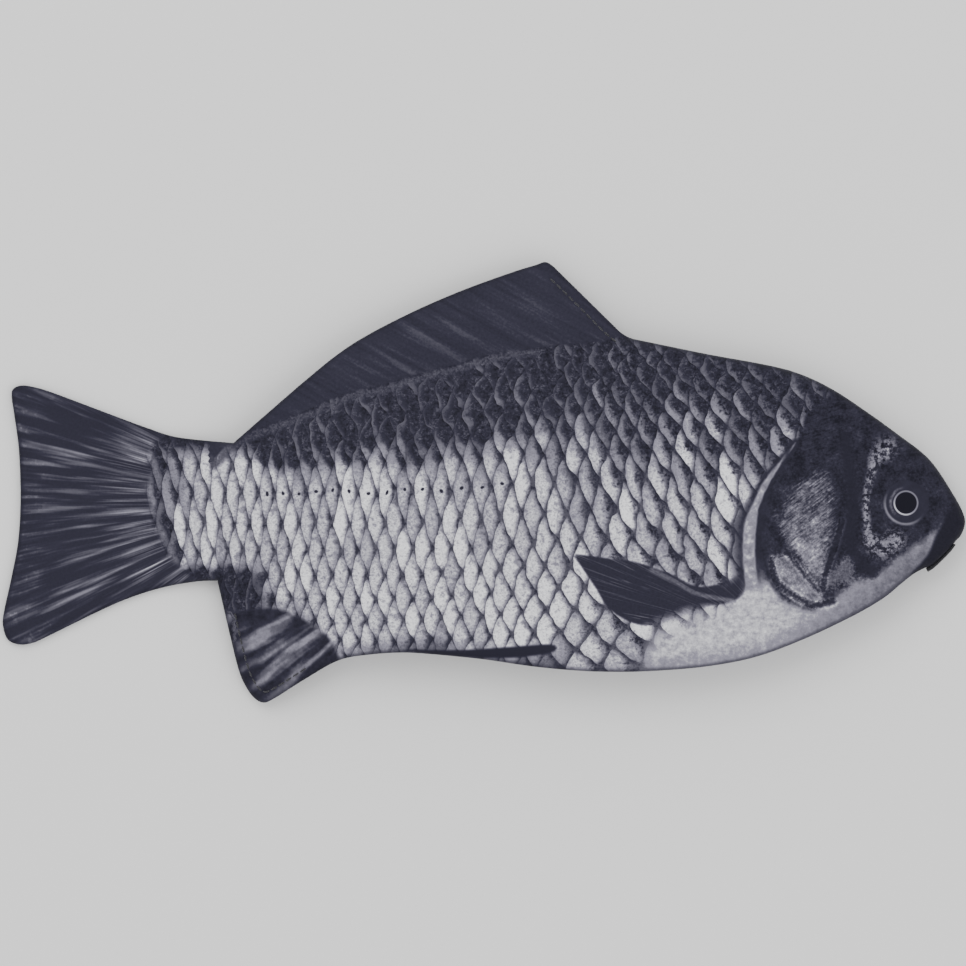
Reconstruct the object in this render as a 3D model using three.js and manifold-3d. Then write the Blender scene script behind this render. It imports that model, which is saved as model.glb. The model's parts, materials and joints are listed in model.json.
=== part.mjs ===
// A carp-shaped zip pouch, lying on its flank. X runs from tail to snout, Y from belly to back, Z is up.
// The origin is under the middle of the pouch, on the surface that it lies on. Sizes are in millimetres.
//
// Two printed walls are sewn together round the outline. Each wall is cloth, foam and lining. The belly
// edge is left open between the anal fin and the mouth, and a zip sits in it, sunk between the two lips.
// Fins and tail are flat, two layers of cloth. The upper wall's belly side folds up about a straight line
// when the zip is undone.
import * as THREE from "three";
import { mergeVertices } from "three/addons/utils/BufferGeometryUtils.js";
import Module from "manifold-3d";

const wasm = await Module();
wasm.setup();

// ---- Driving dimensions ----
const length = 300; // snout to tail
const height = 137.4; // tip of the dorsal fin to tip of the anal fin
const puff = 11.5; // how far the fattest point of a wall stands out from the seam
const seamHeight = 10.5; // height of the seam and of the zip above the table
const seamRise = { from: -105, over: 50 }; // the seam climbs from the tail over this stretch
const noseDip = { from: 125, over: 25, drop: 2.5 }; // and comes down a little at the snout
const cloth = 1.1;
const foam = 1.8;
const lining = 0.5;
const gap = 0.3; // between any two pieces that touch
const seamAllowance = 6.5; // foam and lining stop this far inside the seam
const finDroop = 0.005; // sag of a fin, per millimetre squared past its base
const lipOpening = 0.095; // share of the wall's height that the belly opening cuts off the lens section
const roundness = 0.6; // power of the lens section: 1 is a parabola, less is fuller
const fullnessPowers = { tail: 0.8, snout: 0.6 }; // how the fullness grows from tail root and snout

const tape = 0.5; // thickness of a zip tape
const coil = { inner: 0.5, width: 2.1, thick: 2 }; // half of the chain, measured from the zip's middle
const zipStation = { rear: -20, middle: 48, front: 118 }; // stations that fix the zip's arc
const zipDepth = { rear: 7, middle: 5.8, front: 6 }; // how deep the zip lies inside the belly edge there
const zipEnd = 10; // tape past each end of the slider's run
const fold = { rear: -33, front: 130, inset: 3 }; // stations and depth of the ends of the flap's fold
const slider = {
  length: 9.6, width: 7.4, tailWidth: 6.8, corner: 1.6, // the two plates in plan
  plate: 0.8, slide: 0.35, // a plate, and its clearance over the coils
  flange: 0.7, slot: 1.2, // the side flanges, and the slot between them for the tape
  neck: 0.5, neckLength: 2, // the wedge that parts the coils
};
const bridge = { length: 5.2, width: 1.6, rise: 1.4, wall: 0.7, leg: 0.9 };
const puller = {
  length: 20, width: 4.8, flare: 0.3, corner: 2.2, thick: 0.9, // the tab, measured from its pivot
  eye: 3.4, endHole: 0.9, holeInset: 2.6, // the eye round the bridge, and the small hole at the end
};
const stop = { length: 1.8, wall: 0.6, overTape: 1.4 };
const tab = { length: 3.5, thick: 0.8 };
const thread = { width: 0.5, thick: 0.3 };
const weld = 0.2; // how far the parts of one casting run into each other

// The outline below is drawn 300 long and 137.4 high, and stretched to the sizes above.
const along = length / 300;
const across = height / 137.4;
const point = ([x, y]) => new THREE.Vector2(x * along, y * across);

// ---- Lines of the body ----
// A smooth curve y(x) through knots, level past its ends.
function through(drawn) {
  const knots = drawn.map(point);
  const slope = knots.map((k, i) => {
    const a = knots[Math.max(i - 1, 0)];
    const b = knots[Math.min(i + 1, knots.length - 1)];
    return (b.y - a.y) / (b.x - a.x);
  });
  return (x) => {
    if (x <= knots[0].x) return knots[0].y;
    const i = knots.findIndex((k) => k.x >= x);
    if (i < 0) return knots[knots.length - 1].y;
    const a = knots[i - 1];
    const b = knots[i];
    const w = b.x - a.x;
    const t = (x - a.x) / w;
    const rise = slope[i - 1] * w * t * (1 - t) * (1 - t) - slope[i] * w * t * t * (1 - t);
    return a.y + (b.y - a.y) * t * t * (3 - 2 * t) + rise;
  };
}

// Where the padded body ends on the back (under the dorsal fin, or at the seam) and on the belly.
const backLine = through([
  [-105, 14], [-78, 12.5], [-56.5, 21.5], [-34.5, 29.5], [-15, 35.5], [5, 40], [21, 42.5],
  [46, 44.6], [69.5, 40], [89.5, 36.3], [109, 28.8], [129, 15], [139, 7], [146.5, -4], [150, -13],
]);
const bellyLine = through([
  [-105, -33.5], [-83, -30.6], [-66, -38.5], [-54, -46], [-45, -55.4], [-35, -53.6], [-25, -53], [-15, -53.6],
  [0, -55.1], [14.5, -57.2], [29, -58.6], [42, -59], [54.5, -58.6], [69.5, -57.3], [84.5, -54.4],
  [99, -49.1], [114, -42.1], [124, -36.4], [130, -31.6], [137, -27.2], [144, -23.1], [150, -13],
]);

// The cut edge of the cloth, as smooth stretches that meet in corners.
const cutEdge = [
  // tail: upper edge, round tip, hollow end, round lower lobe, lower edge
  [[-78, 12.3], [-95, 14], [-105, 17], [-120, 22.6], [-135, 28.2], [-141, 29.9], [-144.5, 30.2], [-147, 28.9],
    [-147.2, 26], [-146.6, 22], [-145, 10], [-144.5, -5], [-145.2, -18], [-147.2, -29], [-149.6, -40],
    [-150, -44.5], [-148.5, -49], [-145, -50.6], [-141, -50.2], [-136.5, -48.3], [-120, -40.2], [-110, -35.9],
    [-100, -32.8], [-90, -31], [-83, -30.6]],
  // anal fin: rear edge and round tip, then its lower edge, belly and jaw
  [[-83, -30.6], [-79.5, -46], [-76.4, -58.5], [-74, -64], [-71.5, -67.3], [-68.7, -68.7], [-65.3, -67.4],
    [-55.3, -61.1], [-45, -55.4], [-35, -53.6], [-25, -53], [-15, -53.6], [0, -55.1], [14.5, -57.2], [29, -58.6],
    [42, -59], [54.5, -58.6], [69.5, -57.3], [84.5, -54.4], [99, -49.1], [114, -42.1], [124, -36.4],
    [130, -31.6], [134.1, -28.4], [137.6, -26.6]],
  // mouth and snout, head and nape
  [[137.6, -26.6], [139.3, -26], [142.2, -23.5], [144.9, -20.9], [147.2, -18.2], [148.8, -16.4], [150, -13],
    [149.5, -9.8], [146.5, -4], [139, 7], [129, 15], [119, 22.2], [109, 28.8], [99.5, 33.4], [89.5, 36.3],
    [69.5, 40], [50, 44], [46, 44.9], [43, 46.5], [39.5, 49.8], [24.5, 64.6], [21.6, 67.4], [19.2, 68.7],
    [16, 67.7], [9.5, 65.7], [-5.5, 60.3], [-20.5, 53.9], [-35.5, 46.3], [-45.5, 39.9], [-55.5, 31.8],
    [-65.5, 23.2], [-78, 12.3]],
];
const outline = cutEdge.flatMap((stretch) =>
  new THREE.SplineCurve(stretch.map(point)).getPoints((stretch.length - 1) * 2).slice(1),
);

// ---- The puffed shape ----
const smooth = (t) => THREE.MathUtils.smoothstep(t, 0, 1);
const tailRoot = -100 * along;
const snout = length / 2;
const seamHalf = cloth + gap / 2;

// Fullness along the body, 0 at the tail root and snout, 1 at the fattest station.
function fullness(x) {
  const { tail, snout: front } = fullnessPowers;
  const s = THREE.MathUtils.clamp((x - tailRoot) / (snout - tailRoot), 0, 1);
  const peak = tail / (tail + front);
  return (s ** tail * (1 - s) ** front) / (peak ** tail * (1 - peak) ** front);
}

// How far the belly opening is cut into the lens section: full along the zip, nothing at its two ends.
const opening = {
  rear: -44.7 * along, rearFull: -24 * along,
  frontFull: 120 * along, front: 138.4 * along,
};
function lipShare(x) {
  const rear = smooth((x - opening.rear) / (opening.rearFull - opening.rear));
  const front = smooth((opening.front - x) / (opening.front - opening.frontFull));
  return lipOpening * Math.min(rear, front);
}

// Half the thickness of the pouch at a point.
function half(x, y) {
  const low = bellyLine(x);
  const e = lipShare(x);
  const depth = Math.max(backLine(x) - low, gap);
  const v = THREE.MathUtils.clamp(((y - low) / depth + e) / (1 + e), 0, 1);
  return seamHalf + puff * fullness(x) * (4 * v * (1 - v)) ** roundness;
}

// Height of the middle surface, where the seam runs: level along the zip, down to the table at the tail.
function middle(x, y) {
  const tailSide = smooth((x / along - seamRise.from) / seamRise.over);
  const noseSide = smooth((x / along - noseDip.from) / noseDip.over);
  const level = seamHalf + (seamHeight - seamHalf) * tailSide - noseDip.drop * noseSide;
  const past = Math.max(0, y - backLine(x), bellyLine(x) - y);
  return Math.max(seamHalf, level - finDroop * past * past);
}
const upperFace = (x, y) => middle(x, y) + half(x, y);
const lowerFace = (x, y) => Math.max(0, middle(x, y) - half(x, y));

// ---- Solids ----
function solid(geometry) {
  const bare = geometry.clone();
  bare.deleteAttribute("normal");
  bare.deleteAttribute("uv");
  const merged = mergeVertices(bare, 1e-4);
  return new wasm.Manifold(
    new wasm.Mesh({
      numProp: 3,
      vertProperties: merged.attributes.position.array,
      triVerts: new Uint32Array(merged.index.array),
    }),
  );
}

function geometryOf(manifold) {
  const { vertProperties, triVerts, numProp, numVert } = manifold.getMesh();
  const positions = new Float32Array(numVert * 3);
  for (let i = 0; i < numVert; i++) {
    const from = i * numProp;
    positions.set(vertProperties.subarray(from, from + 3), i * 3);
  }
  const geometry = new THREE.BufferGeometry();
  geometry.setAttribute("position", new THREE.BufferAttribute(positions, 3));
  geometry.setIndex(new THREE.BufferAttribute(triVerts, 1));
  return geometry;
}

// A closed sheet over a grid of points. grid[i][j] is { low, high }, two Vector3: i runs along, j across.
function sheet(grid) {
  const rows = grid[0].length;
  const corners = ({ low, high }) => [...low.toArray(), ...high.toArray()];
  const positions = grid.flatMap((line) => line.flatMap(corners));
  const at = (i, j, top) => 2 * (i * rows + j) + top;
  const faces = [];
  const quad = (a, b, c, d) => faces.push(a, b, c, a, c, d);
  const last = grid.length - 1;
  for (let i = 0; i < last; i++) {
    for (let j = 0; j < rows - 1; j++) {
      quad(at(i, j, 1), at(i + 1, j, 1), at(i + 1, j + 1, 1), at(i, j + 1, 1));
      quad(at(i, j, 0), at(i, j + 1, 0), at(i + 1, j + 1, 0), at(i + 1, j, 0));
    }
    quad(at(i, 0, 0), at(i + 1, 0, 0), at(i + 1, 0, 1), at(i, 0, 1));
    quad(at(i, rows - 1, 0), at(i, rows - 1, 1), at(i + 1, rows - 1, 1), at(i + 1, rows - 1, 0));
  }
  for (let j = 0; j < rows - 1; j++) {
    quad(at(0, j, 0), at(0, j, 1), at(0, j + 1, 1), at(0, j + 1, 0));
    quad(at(last, j, 0), at(last, j + 1, 0), at(last, j + 1, 1), at(last, j, 1));
  }
  const geometry = new THREE.BufferGeometry();
  geometry.setAttribute("position", new THREE.Float32BufferAttribute(positions, 3));
  geometry.setIndex(faces);
  return geometry;
}

// A formed slab of cloth larger than the fish. Its rows follow the belly and back lines.
const stationStep = 9.7 * along;
const stations = Array.from({ length: 33 }, (_, i) => (i - 16) * stationStep);
const sheetRows = [-0.02, 0.02, 0.08, 0.2, 0.35, 0.52, 0.68, 0.82, 0.92, 0.975];
const finRows = [1.5, 9, 18, 28, 60]; // distances past the body's edge
function slab(low, high) {
  return solid(
    sheet(
      stations.map((x) => {
        const belly = bellyLine(x);
        const back = backLine(x);
        const levels = [
          ...finRows.slice(1).reverse().map((d) => belly - d),
          ...sheetRows.map((v) => belly + (back - belly) * v),
          ...finRows.map((d) => back + d),
        ];
        return levels.map((y) => ({
          low: new THREE.Vector3(x, y, low(x, y)),
          high: new THREE.Vector3(x, y, high(x, y)),
        }));
      }),
    ),
  );
}

// An upright prism over a closed plan outline, taller than the pouch.
function prism(points) {
  const tall = 3 * (puff + seamHeight);
  const geometry = new THREE.ExtrudeGeometry(new THREE.Shape(points), { depth: tall, bevelEnabled: false });
  return solid(geometry.translate(0, 0, -tall / 3));
}

// ---- The fold of the belly flap, and the zip's arc ----
const foldEnd = (x) => new THREE.Vector2(x * along, bellyLine(x * along) + fold.inset);
const foldRear = foldEnd(fold.rear);
const foldFront = foldEnd(fold.front);
const foldWay = foldFront.clone().sub(foldRear).normalize();
const foldOut = new THREE.Vector2(foldWay.y, -foldWay.x);
const bellyDepth = 40 * across;
function flapPlan(inset) {
  const rear = foldRear.clone().addScaledVector(foldWay, inset);
  const front = foldFront.clone().addScaledVector(foldWay, -inset);
  const from = (end, depth) => end.clone().addScaledVector(foldOut, depth);
  return [from(rear, inset), from(front, inset), from(front, bellyDepth), from(rear, bellyDepth)];
}

const zipPoint = (place) => {
  const x = zipStation[place] * along;
  return new THREE.Vector2(x, bellyLine(x) + zipDepth[place]);
};
// The circle through three plan points.
function circle(a, b, c) {
  const u = b.clone().sub(a);
  const v = c.clone().sub(a);
  const cross = 2 * (u.x * v.y - u.y * v.x);
  const uu = u.lengthSq();
  const vv = v.lengthSq();
  const centre = new THREE.Vector2((v.y * uu - u.y * vv) / cross, (u.x * vv - v.x * uu) / cross).add(a);
  return { centre, radius: centre.distanceTo(a) };
}
const arc = circle(zipPoint("rear"), zipPoint("middle"), zipPoint("front"));
const angleAt = (place) => Math.asin((zipStation[place] * along - arc.centre.x) / arc.radius);
const parked = angleAt("front"); // the slider's place with the zip closed
const opened = angleAt("rear"); // and with the zip open
const turn = (distance) => distance / arc.radius;
const zipFrom = opened - turn(zipEnd);
const zipTo = parked + turn(zipEnd);
const onArc = (angle, radius) =>
  new THREE.Vector2(arc.centre.x + radius * Math.sin(angle), arc.centre.y - radius * Math.cos(angle));

// A strip bent round the zip's arc: from angle a to b, between two radii, and from low(x, y) to high(x, y).
function arcStrip(a, b, inner, outer, low, high, stepLength = 5) {
  const steps = Math.max(2, Math.round(((b - a) * arc.radius) / stepLength));
  return sheet(
    Array.from({ length: steps + 1 }, (_, i) => {
      const angle = a + ((b - a) * i) / steps;
      return [outer, inner].map((radius) => {
        const p = onArc(angle, radius);
        const mid = onArc(angle, arc.radius);
        return {
          low: new THREE.Vector3(p.x, p.y, low(mid.x, mid.y)),
          high: new THREE.Vector3(p.x, p.y, high(mid.x, mid.y)),
        };
      });
    }),
  );
}
// Free height above or below the zip's middle, up to the cloth of the lips.
const reach = (x, y) => half(x, y) - cloth - 2 * gap;
const lipReach = (angle, outside) => {
  const p = onArc(angle, arc.radius + outside);
  return reach(p.x, p.y);
};

// ---- Sub-parts ----
const part = new THREE.Group();
const finish = {
  print: new THREE.MeshStandardMaterial({ color: 0x7b7a86, roughness: 0.75 }),
  lining: new THREE.MeshStandardMaterial({ color: 0x1b1b1f, roughness: 0.8 }),
  foam: new THREE.MeshStandardMaterial({ color: 0xd8d6cf, roughness: 0.95 }),
  tape: new THREE.MeshStandardMaterial({ color: 0x18181b, roughness: 0.9 }),
  coil: new THREE.MeshStandardMaterial({ color: 0x222226, roughness: 0.45 }),
  metal: new THREE.MeshStandardMaterial({ color: 0x8e9096, roughness: 0.3, metalness: 1 }),
  thread: new THREE.MeshStandardMaterial({ color: 0x26252c, roughness: 0.7 }),
};
function add(name, geometry, material, parent = part) {
  const mesh = new THREE.Mesh(geometry, material);
  mesh.name = name;
  parent.add(mesh);
  return mesh;
}

// Walls: each layer is a formed slab, cut to its plan. Depths go inwards from the wall's outer face.
const upperLayer = (from, to) =>
  slab((x, y) => upperFace(x, y) - to, (x, y) => upperFace(x, y) - from);
const lowerLayer = (from, to) =>
  slab((x, y) => lowerFace(x, y) + from, (x, y) => lowerFace(x, y) + to);
const foamFrom = cloth + gap;
const liningFrom = foamFrom + foam + gap;

// The plan of foam and lining: inside the seam, and behind the zip.
const liningSpan = { rear: -66 * along, front: 132 * along };
function liningPlan() {
  const steps = 20;
  const stride = (liningSpan.front - liningSpan.rear) / steps;
  const xs = Array.from({ length: steps + 1 }, (_, i) => liningSpan.rear + i * stride);
  const behindZip = arc.radius - coil.thick / 2 - slider.plate - slider.slide - 2 * gap;
  const bottom = xs.map((x) => {
    const inSeam = bellyLine(x) + seamAllowance;
    const offset = x - arc.centre.x;
    return new THREE.Vector2(x, Math.max(inSeam, arc.centre.y - Math.sqrt(behindZip ** 2 - offset ** 2)));
  });
  const top = xs.map((x) => new THREE.Vector2(x, backLine(x) - seamAllowance));
  return bottom.concat(top.reverse());
}

const fishPrism = prism(outline);
const liningPrism = prism(liningPlan());
const rootCut = prism(flapPlan(0));
const flapCut = prism(flapPlan(gap));
const layers = [
  ["cloth", 0, cloth, fishPrism, finish.print],
  ["foam", foamFrom, foamFrom + foam, liningPrism, finish.foam],
  ["lining", liningFrom, liningFrom + lining, liningPrism, finish.lining],
];
for (const [layer, from, to, plan, material] of layers) {
  const upper = upperLayer(from, to).intersect(plan);
  add("upper_wall_" + layer, geometryOf(upper.subtract(rootCut)), material);
  add("belly_flap_" + layer, geometryOf(upper.intersect(flapCut)), material);
  add("lower_wall_" + layer, geometryOf(lowerLayer(from, to).intersect(plan)), material);
}

// Zip: on each side a tape that ends at the wall, and half of the coil chain along its edge.
const tapeEdge = coil.inner + coil.width + gap;
const chainFrom = zipFrom + turn(zipEnd / 2);
const chainTo = zipTo - turn(zipEnd / 2);
for (const [side, sign] of [["upper", 1], ["lower", -1]]) {
  const band = (near, far) => {
    const ends = [(x, y) => middle(x, y) + sign * near(x, y), (x, y) => middle(x, y) + sign * far(x, y)];
    return sign > 0 ? ends : ends.reverse();
  };
  const tapeBand = band(() => tapeEdge, reach);
  const tapeSolid = arcStrip(zipFrom, zipTo, arc.radius - tape / 2, arc.radius + tape / 2, ...tapeBand);
  add(side + "_zip_tape", tapeSolid, finish.tape);
  const coilBand = band(() => coil.inner, () => coil.inner + coil.width);
  const coilHalf = coil.thick / 2;
  const coilSolid = arcStrip(chainFrom, chainTo, arc.radius - coilHalf, arc.radius + coilHalf, ...coilBand);
  add(side + "_zip_coil", coilSolid, finish.coil);
}

// Cloth tabs that cover the two ends of the zip, from lip to lip.
const tabInner = arc.radius + coil.thick / 2 + gap;
for (const [name, a, b] of [
  ["rear_end_tab", zipFrom, zipFrom + turn(tab.length)],
  ["front_end_tab", zipTo - turn(tab.length), zipTo],
]) {
  const outside = tabInner + tab.thick - arc.radius;
  const halfWidth = Math.min(lipReach(a, outside), lipReach(b, outside));
  const faces = [(x, y) => middle(x, y) - halfWidth, (x, y) => middle(x, y) + halfWidth];
  add(name, arcStrip(a, b, tabInner, tabInner + tab.thick, ...faces), finish.tape);
}

// The end of the zip tapes is turned out under the mouth, as a dark edge along the seam.
const mouthFold = {
  inner: [[137.9, -27], [139.5, -26.3], [142.4, -23.8], [145.1, -21.2], [146.9, -19.2]],
  outer: [[147.1, -19.5], [145.5, -21.6], [143, -24.2], [140.2, -26.8], [138.4, -27.9]],
};
{
  const plan = new THREE.Shape(mouthFold.inner.concat(mouthFold.outer).map(point));
  const strip = new THREE.ExtrudeGeometry(plan, { depth: 2 * seamHalf, bevelEnabled: false });
  const x = mouthFold.inner[2][0] * along;
  strip.translate(0, 0, middle(x, bellyLine(x)) - seamHalf);
  add("mouth_zip_fold", strip, finish.tape);
}

// A frame on the zip's arc: x runs forwards along the chain, -y points out of the belly, z across the zip.
function carriage(angle) {
  const frame = new THREE.Group();
  frame.position.set(arc.centre.x, arc.centre.y, seamHeight);
  frame.rotation.z = angle;
  part.add(frame);
  const seat = new THREE.Group();
  seat.position.y = -arc.radius;
  frame.add(seat);
  return seat;
}
const box = (x0, x1, y0, y1, z0, z1) =>
  new THREE.BoxGeometry(x1 - x0, y1 - y0, z1 - z0).translate((x0 + x1) / 2, (y0 + y1) / 2, (z0 + z1) / 2);

// Metal stops, crimped round the tapes just past the chain: two at the closed end, one across the other.
const grip = tape / 2 + gap;
const stopOut = grip + stop.wall;
const pastChain = turn(stop.length / 2 + gap);
const stopAt = { bottom: chainFrom - pastChain, top: chainTo + pastChain };
for (const [name, sign] of [["upper_top_stop", 1], ["lower_top_stop", -1]]) {
  const clip = new THREE.Shape();
  const edge = tapeEdge + stop.overTape;
  const near = tapeEdge - gap - stop.wall;
  clip.moveTo(-stopOut, near);
  clip.lineTo(stopOut, near);
  clip.lineTo(stopOut, edge);
  clip.lineTo(grip, edge);
  clip.lineTo(grip, near + stop.wall);
  clip.lineTo(-grip, near + stop.wall);
  clip.lineTo(-grip, edge);
  clip.lineTo(-stopOut, edge);
  const geometry = new THREE.ExtrudeGeometry(clip, { depth: stop.length, bevelEnabled: false });
  geometry.translate(0, 0, -stop.length / 2).rotateX(Math.PI / 2).rotateZ(Math.PI / 2);
  if (sign > 0) geometry.rotateX(Math.PI);
  add(name, geometry.rotateX(Math.PI), finish.metal, carriage(stopAt.top));
}
{
  const end = stop.length / 2;
  const edge = tapeEdge + stop.overTape;
  const bar = tapeEdge - gap;
  const clip = solid(box(-end, end, -stopOut, -grip, -edge, edge))
    .add(solid(box(-end, end, grip, stopOut, -edge, edge)))
    .add(solid(box(-end, end, -stopOut, stopOut, -bar, bar)));
  add("bottom_stop", geometryOf(clip), finish.metal, carriage(stopAt.bottom));
}

// Slider: two shield-shaped plates, a neck between them at the closing end, flanges that hold the coils in,
// and the bridge that carries the puller.
const plateInner = coil.thick / 2 + slider.slide;
const plateOuter = plateInner + slider.plate;
function shield() {
  const { length: long, width, tailWidth, corner: nose } = slider;
  const shape = new THREE.Shape();
  shape.moveTo(-long / 2 + nose, -width / 2);
  shape.quadraticCurveTo(-long / 2, -width / 2, -long / 2, -width / 2 + nose);
  shape.quadraticCurveTo(-long / 2 + 0.5, -0.6, -long / 2 + 0.9, 0);
  shape.quadraticCurveTo(-long / 2 + 0.5, 0.6, -long / 2, width / 2 - nose);
  shape.quadraticCurveTo(-long / 2, width / 2, -long / 2 + nose, width / 2);
  shape.lineTo(long / 2 - nose, tailWidth / 2);
  shape.quadraticCurveTo(long / 2, tailWidth / 2, long / 2, tailWidth / 2 - nose);
  shape.lineTo(long / 2, -tailWidth / 2 + nose);
  shape.quadraticCurveTo(long / 2, -tailWidth / 2, long / 2 - nose, -tailWidth / 2);
  shape.closePath();
  return shape;
}
// A flat outline in x and z, extruded from depth y0 to y1.
const standing = (shape, y0, y1, options = {}) =>
  new THREE.ExtrudeGeometry(shape, { depth: y1 - y0, bevelEnabled: false, curveSegments: 4, ...options })
    .rotateX(Math.PI / 2)
    .translate(0, y1, 0);
function sliderBody() {
  const flangeIn = slider.slot / 2;
  const rear = -slider.length / 2 + slider.corner + weld;
  const front = slider.length / 2 - slider.corner;
  const neckFrom = rear - 2 * weld;
  const deep = plateOuter - weld;
  const pieces = [standing(shield(), -plateOuter, -plateInner), standing(shield(), plateInner, plateOuter)];
  pieces.push(box(neckFrom, neckFrom + slider.neckLength, -deep, deep, -slider.neck / 2, slider.neck / 2));
  for (const side of [-1, 1]) {
    const outside = slider.tailWidth / 2;
    const z = [side * (outside - slider.flange), side * outside].sort((a, b) => a - b);
    for (const face of [-1, 1]) {
      const y = [face * flangeIn, face * (plateInner + weld)].sort((a, b) => a - b);
      pieces.push(box(rear, front, ...y, ...z));
    }
  }
  const arch = new THREE.Shape();
  const foot = -plateOuter + weld;
  const crown = -plateOuter - bridge.rise - bridge.wall;
  const inside = bridge.length / 2 - bridge.leg;
  arch.moveTo(-bridge.length / 2, foot);
  arch.lineTo(-bridge.length / 2, crown + 0.7);
  arch.quadraticCurveTo(-bridge.length / 2, crown, -bridge.length / 2 + 0.7, crown);
  arch.lineTo(bridge.length / 2 - 0.7, crown);
  arch.quadraticCurveTo(bridge.length / 2, crown, bridge.length / 2, crown + 0.7);
  arch.lineTo(bridge.length / 2, foot);
  arch.lineTo(inside, foot);
  arch.lineTo(inside, crown + bridge.wall);
  arch.lineTo(-inside, crown + bridge.wall);
  arch.lineTo(-inside, foot);
  arch.closePath();
  const options = { depth: bridge.width, bevelEnabled: false, curveSegments: 3 };
  const loop = new THREE.ExtrudeGeometry(arch, options);
  pieces.push(loop.translate(0, 0, -bridge.width / 2));
  return geometryOf(pieces.map(solid).reduce((whole, piece) => whole.add(piece)));
}
const sliderSeat = carriage(parked);
sliderSeat.rotation.y = Math.PI;
add("slider_body", sliderBody(), finish.metal, sliderSeat);

// Puller: a flat tab whose eye straddles the bridge. Its end bar turns under the bridge.
const pivotOut = plateOuter + bridge.rise / 2;
function pullerBody() {
  const bar = puller.thick / 2;
  const w = puller.width / 2;
  const shape = new THREE.Shape();
  const wide = w + puller.flare;
  const rounding = puller.length - puller.corner;
  shape.moveTo(-bar, -w + bar);
  shape.quadraticCurveTo(-bar, -w, bar, -w);
  shape.lineTo(rounding, -wide);
  shape.quadraticCurveTo(puller.length, -wide, puller.length, 0);
  shape.quadraticCurveTo(puller.length, wide, rounding, wide);
  shape.lineTo(bar, w);
  shape.quadraticCurveTo(-bar, w, -bar, w - bar);
  shape.closePath();
  const eyeHalf = bridge.width / 2 + gap;
  const eye = new THREE.Path();
  eye.moveTo(bar, -eyeHalf);
  eye.lineTo(bar + puller.eye, -eyeHalf);
  eye.lineTo(bar + puller.eye, eyeHalf);
  eye.lineTo(bar, eyeHalf);
  eye.closePath();
  const endHole = new THREE.Path();
  endHole.absarc(puller.length - puller.holeInset, 0, puller.endHole, 0, 2 * Math.PI, true);
  shape.holes.push(eye, endHole);
  return standing(shape, -puller.thick / 2, puller.thick / 2);
}
add("puller", pullerBody(), finish.metal, sliderSeat).position.y = -pivotOut;

// Fin topstitching: a thread that follows the fin's edge, on the upper face (needle) and lower (bobbin).
function threadPlan(drawn) {
  const way = new THREE.SplineCurve(drawn.map(point)).getPoints((drawn.length - 1) * 2);
  const edges = [1, -1].map((side) =>
    way.map((p, i) => {
      const before = way[Math.max(i - 1, 0)];
      const after = way[Math.min(i + 1, way.length - 1)];
      const tangent = after.clone().sub(before).normalize();
      return new THREE.Vector2(-tangent.y, tangent.x).multiplyScalar((side * thread.width) / 2).add(p);
    }),
  );
  return prism(edges[0].concat(edges[1].reverse()));
}
const stitchWays = {
  dorsal_fin: [[20.6, 63.6], [24, 60.4], [31, 53.4], [37.6, 46.8], [41.4, 43.6]],
  anal_fin: [[-77.6, -40.5], [-75.6, -49.5], [-73.4, -57.8], [-71.2, -62.6], [-68.6, -65.2], [-65, -64],
    [-55.2, -57.8]],
};
for (const [fin, way] of Object.entries(stitchWays)) {
  const plan = threadPlan(way);
  const depths = [-gap - thread.thick, -gap];
  add(fin + "_needle_thread", geometryOf(upperLayer(...depths).intersect(plan)), finish.thread);
  add(fin + "_bobbin_thread", geometryOf(lowerLayer(...depths).intersect(plan)), finish.thread);
}

export default part;
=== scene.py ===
import json
import math

import bmesh
import bpy
import numpy as np
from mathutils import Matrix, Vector
from mathutils.geometry import delaunay_2d_cdt


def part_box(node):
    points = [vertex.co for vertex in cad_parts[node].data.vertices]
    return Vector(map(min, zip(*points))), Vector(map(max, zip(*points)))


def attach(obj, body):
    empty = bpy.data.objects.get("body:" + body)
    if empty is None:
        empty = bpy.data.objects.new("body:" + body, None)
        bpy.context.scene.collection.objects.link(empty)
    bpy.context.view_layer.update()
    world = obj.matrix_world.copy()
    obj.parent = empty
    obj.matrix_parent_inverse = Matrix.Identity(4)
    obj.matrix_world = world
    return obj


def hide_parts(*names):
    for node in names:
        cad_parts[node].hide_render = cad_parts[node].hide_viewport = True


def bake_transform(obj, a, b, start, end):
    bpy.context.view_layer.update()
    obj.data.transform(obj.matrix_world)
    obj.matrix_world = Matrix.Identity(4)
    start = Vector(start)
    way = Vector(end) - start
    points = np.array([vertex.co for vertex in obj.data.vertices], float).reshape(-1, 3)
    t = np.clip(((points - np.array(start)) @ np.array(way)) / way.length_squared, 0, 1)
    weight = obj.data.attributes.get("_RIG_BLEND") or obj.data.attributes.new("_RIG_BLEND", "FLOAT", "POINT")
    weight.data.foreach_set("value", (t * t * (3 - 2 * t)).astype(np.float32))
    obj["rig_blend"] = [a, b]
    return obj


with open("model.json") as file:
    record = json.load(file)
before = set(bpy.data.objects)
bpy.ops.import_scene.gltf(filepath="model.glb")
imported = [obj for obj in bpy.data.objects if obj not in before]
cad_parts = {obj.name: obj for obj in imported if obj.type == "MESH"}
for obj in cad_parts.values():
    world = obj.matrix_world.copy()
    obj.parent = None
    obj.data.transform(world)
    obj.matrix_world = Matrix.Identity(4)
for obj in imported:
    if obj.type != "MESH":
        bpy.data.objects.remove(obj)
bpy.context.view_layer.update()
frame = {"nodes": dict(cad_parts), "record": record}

MM = 0.001
JOINTS = {j["name"]: j for j in frame["record"]["behaviour"]["joints"]}

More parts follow.
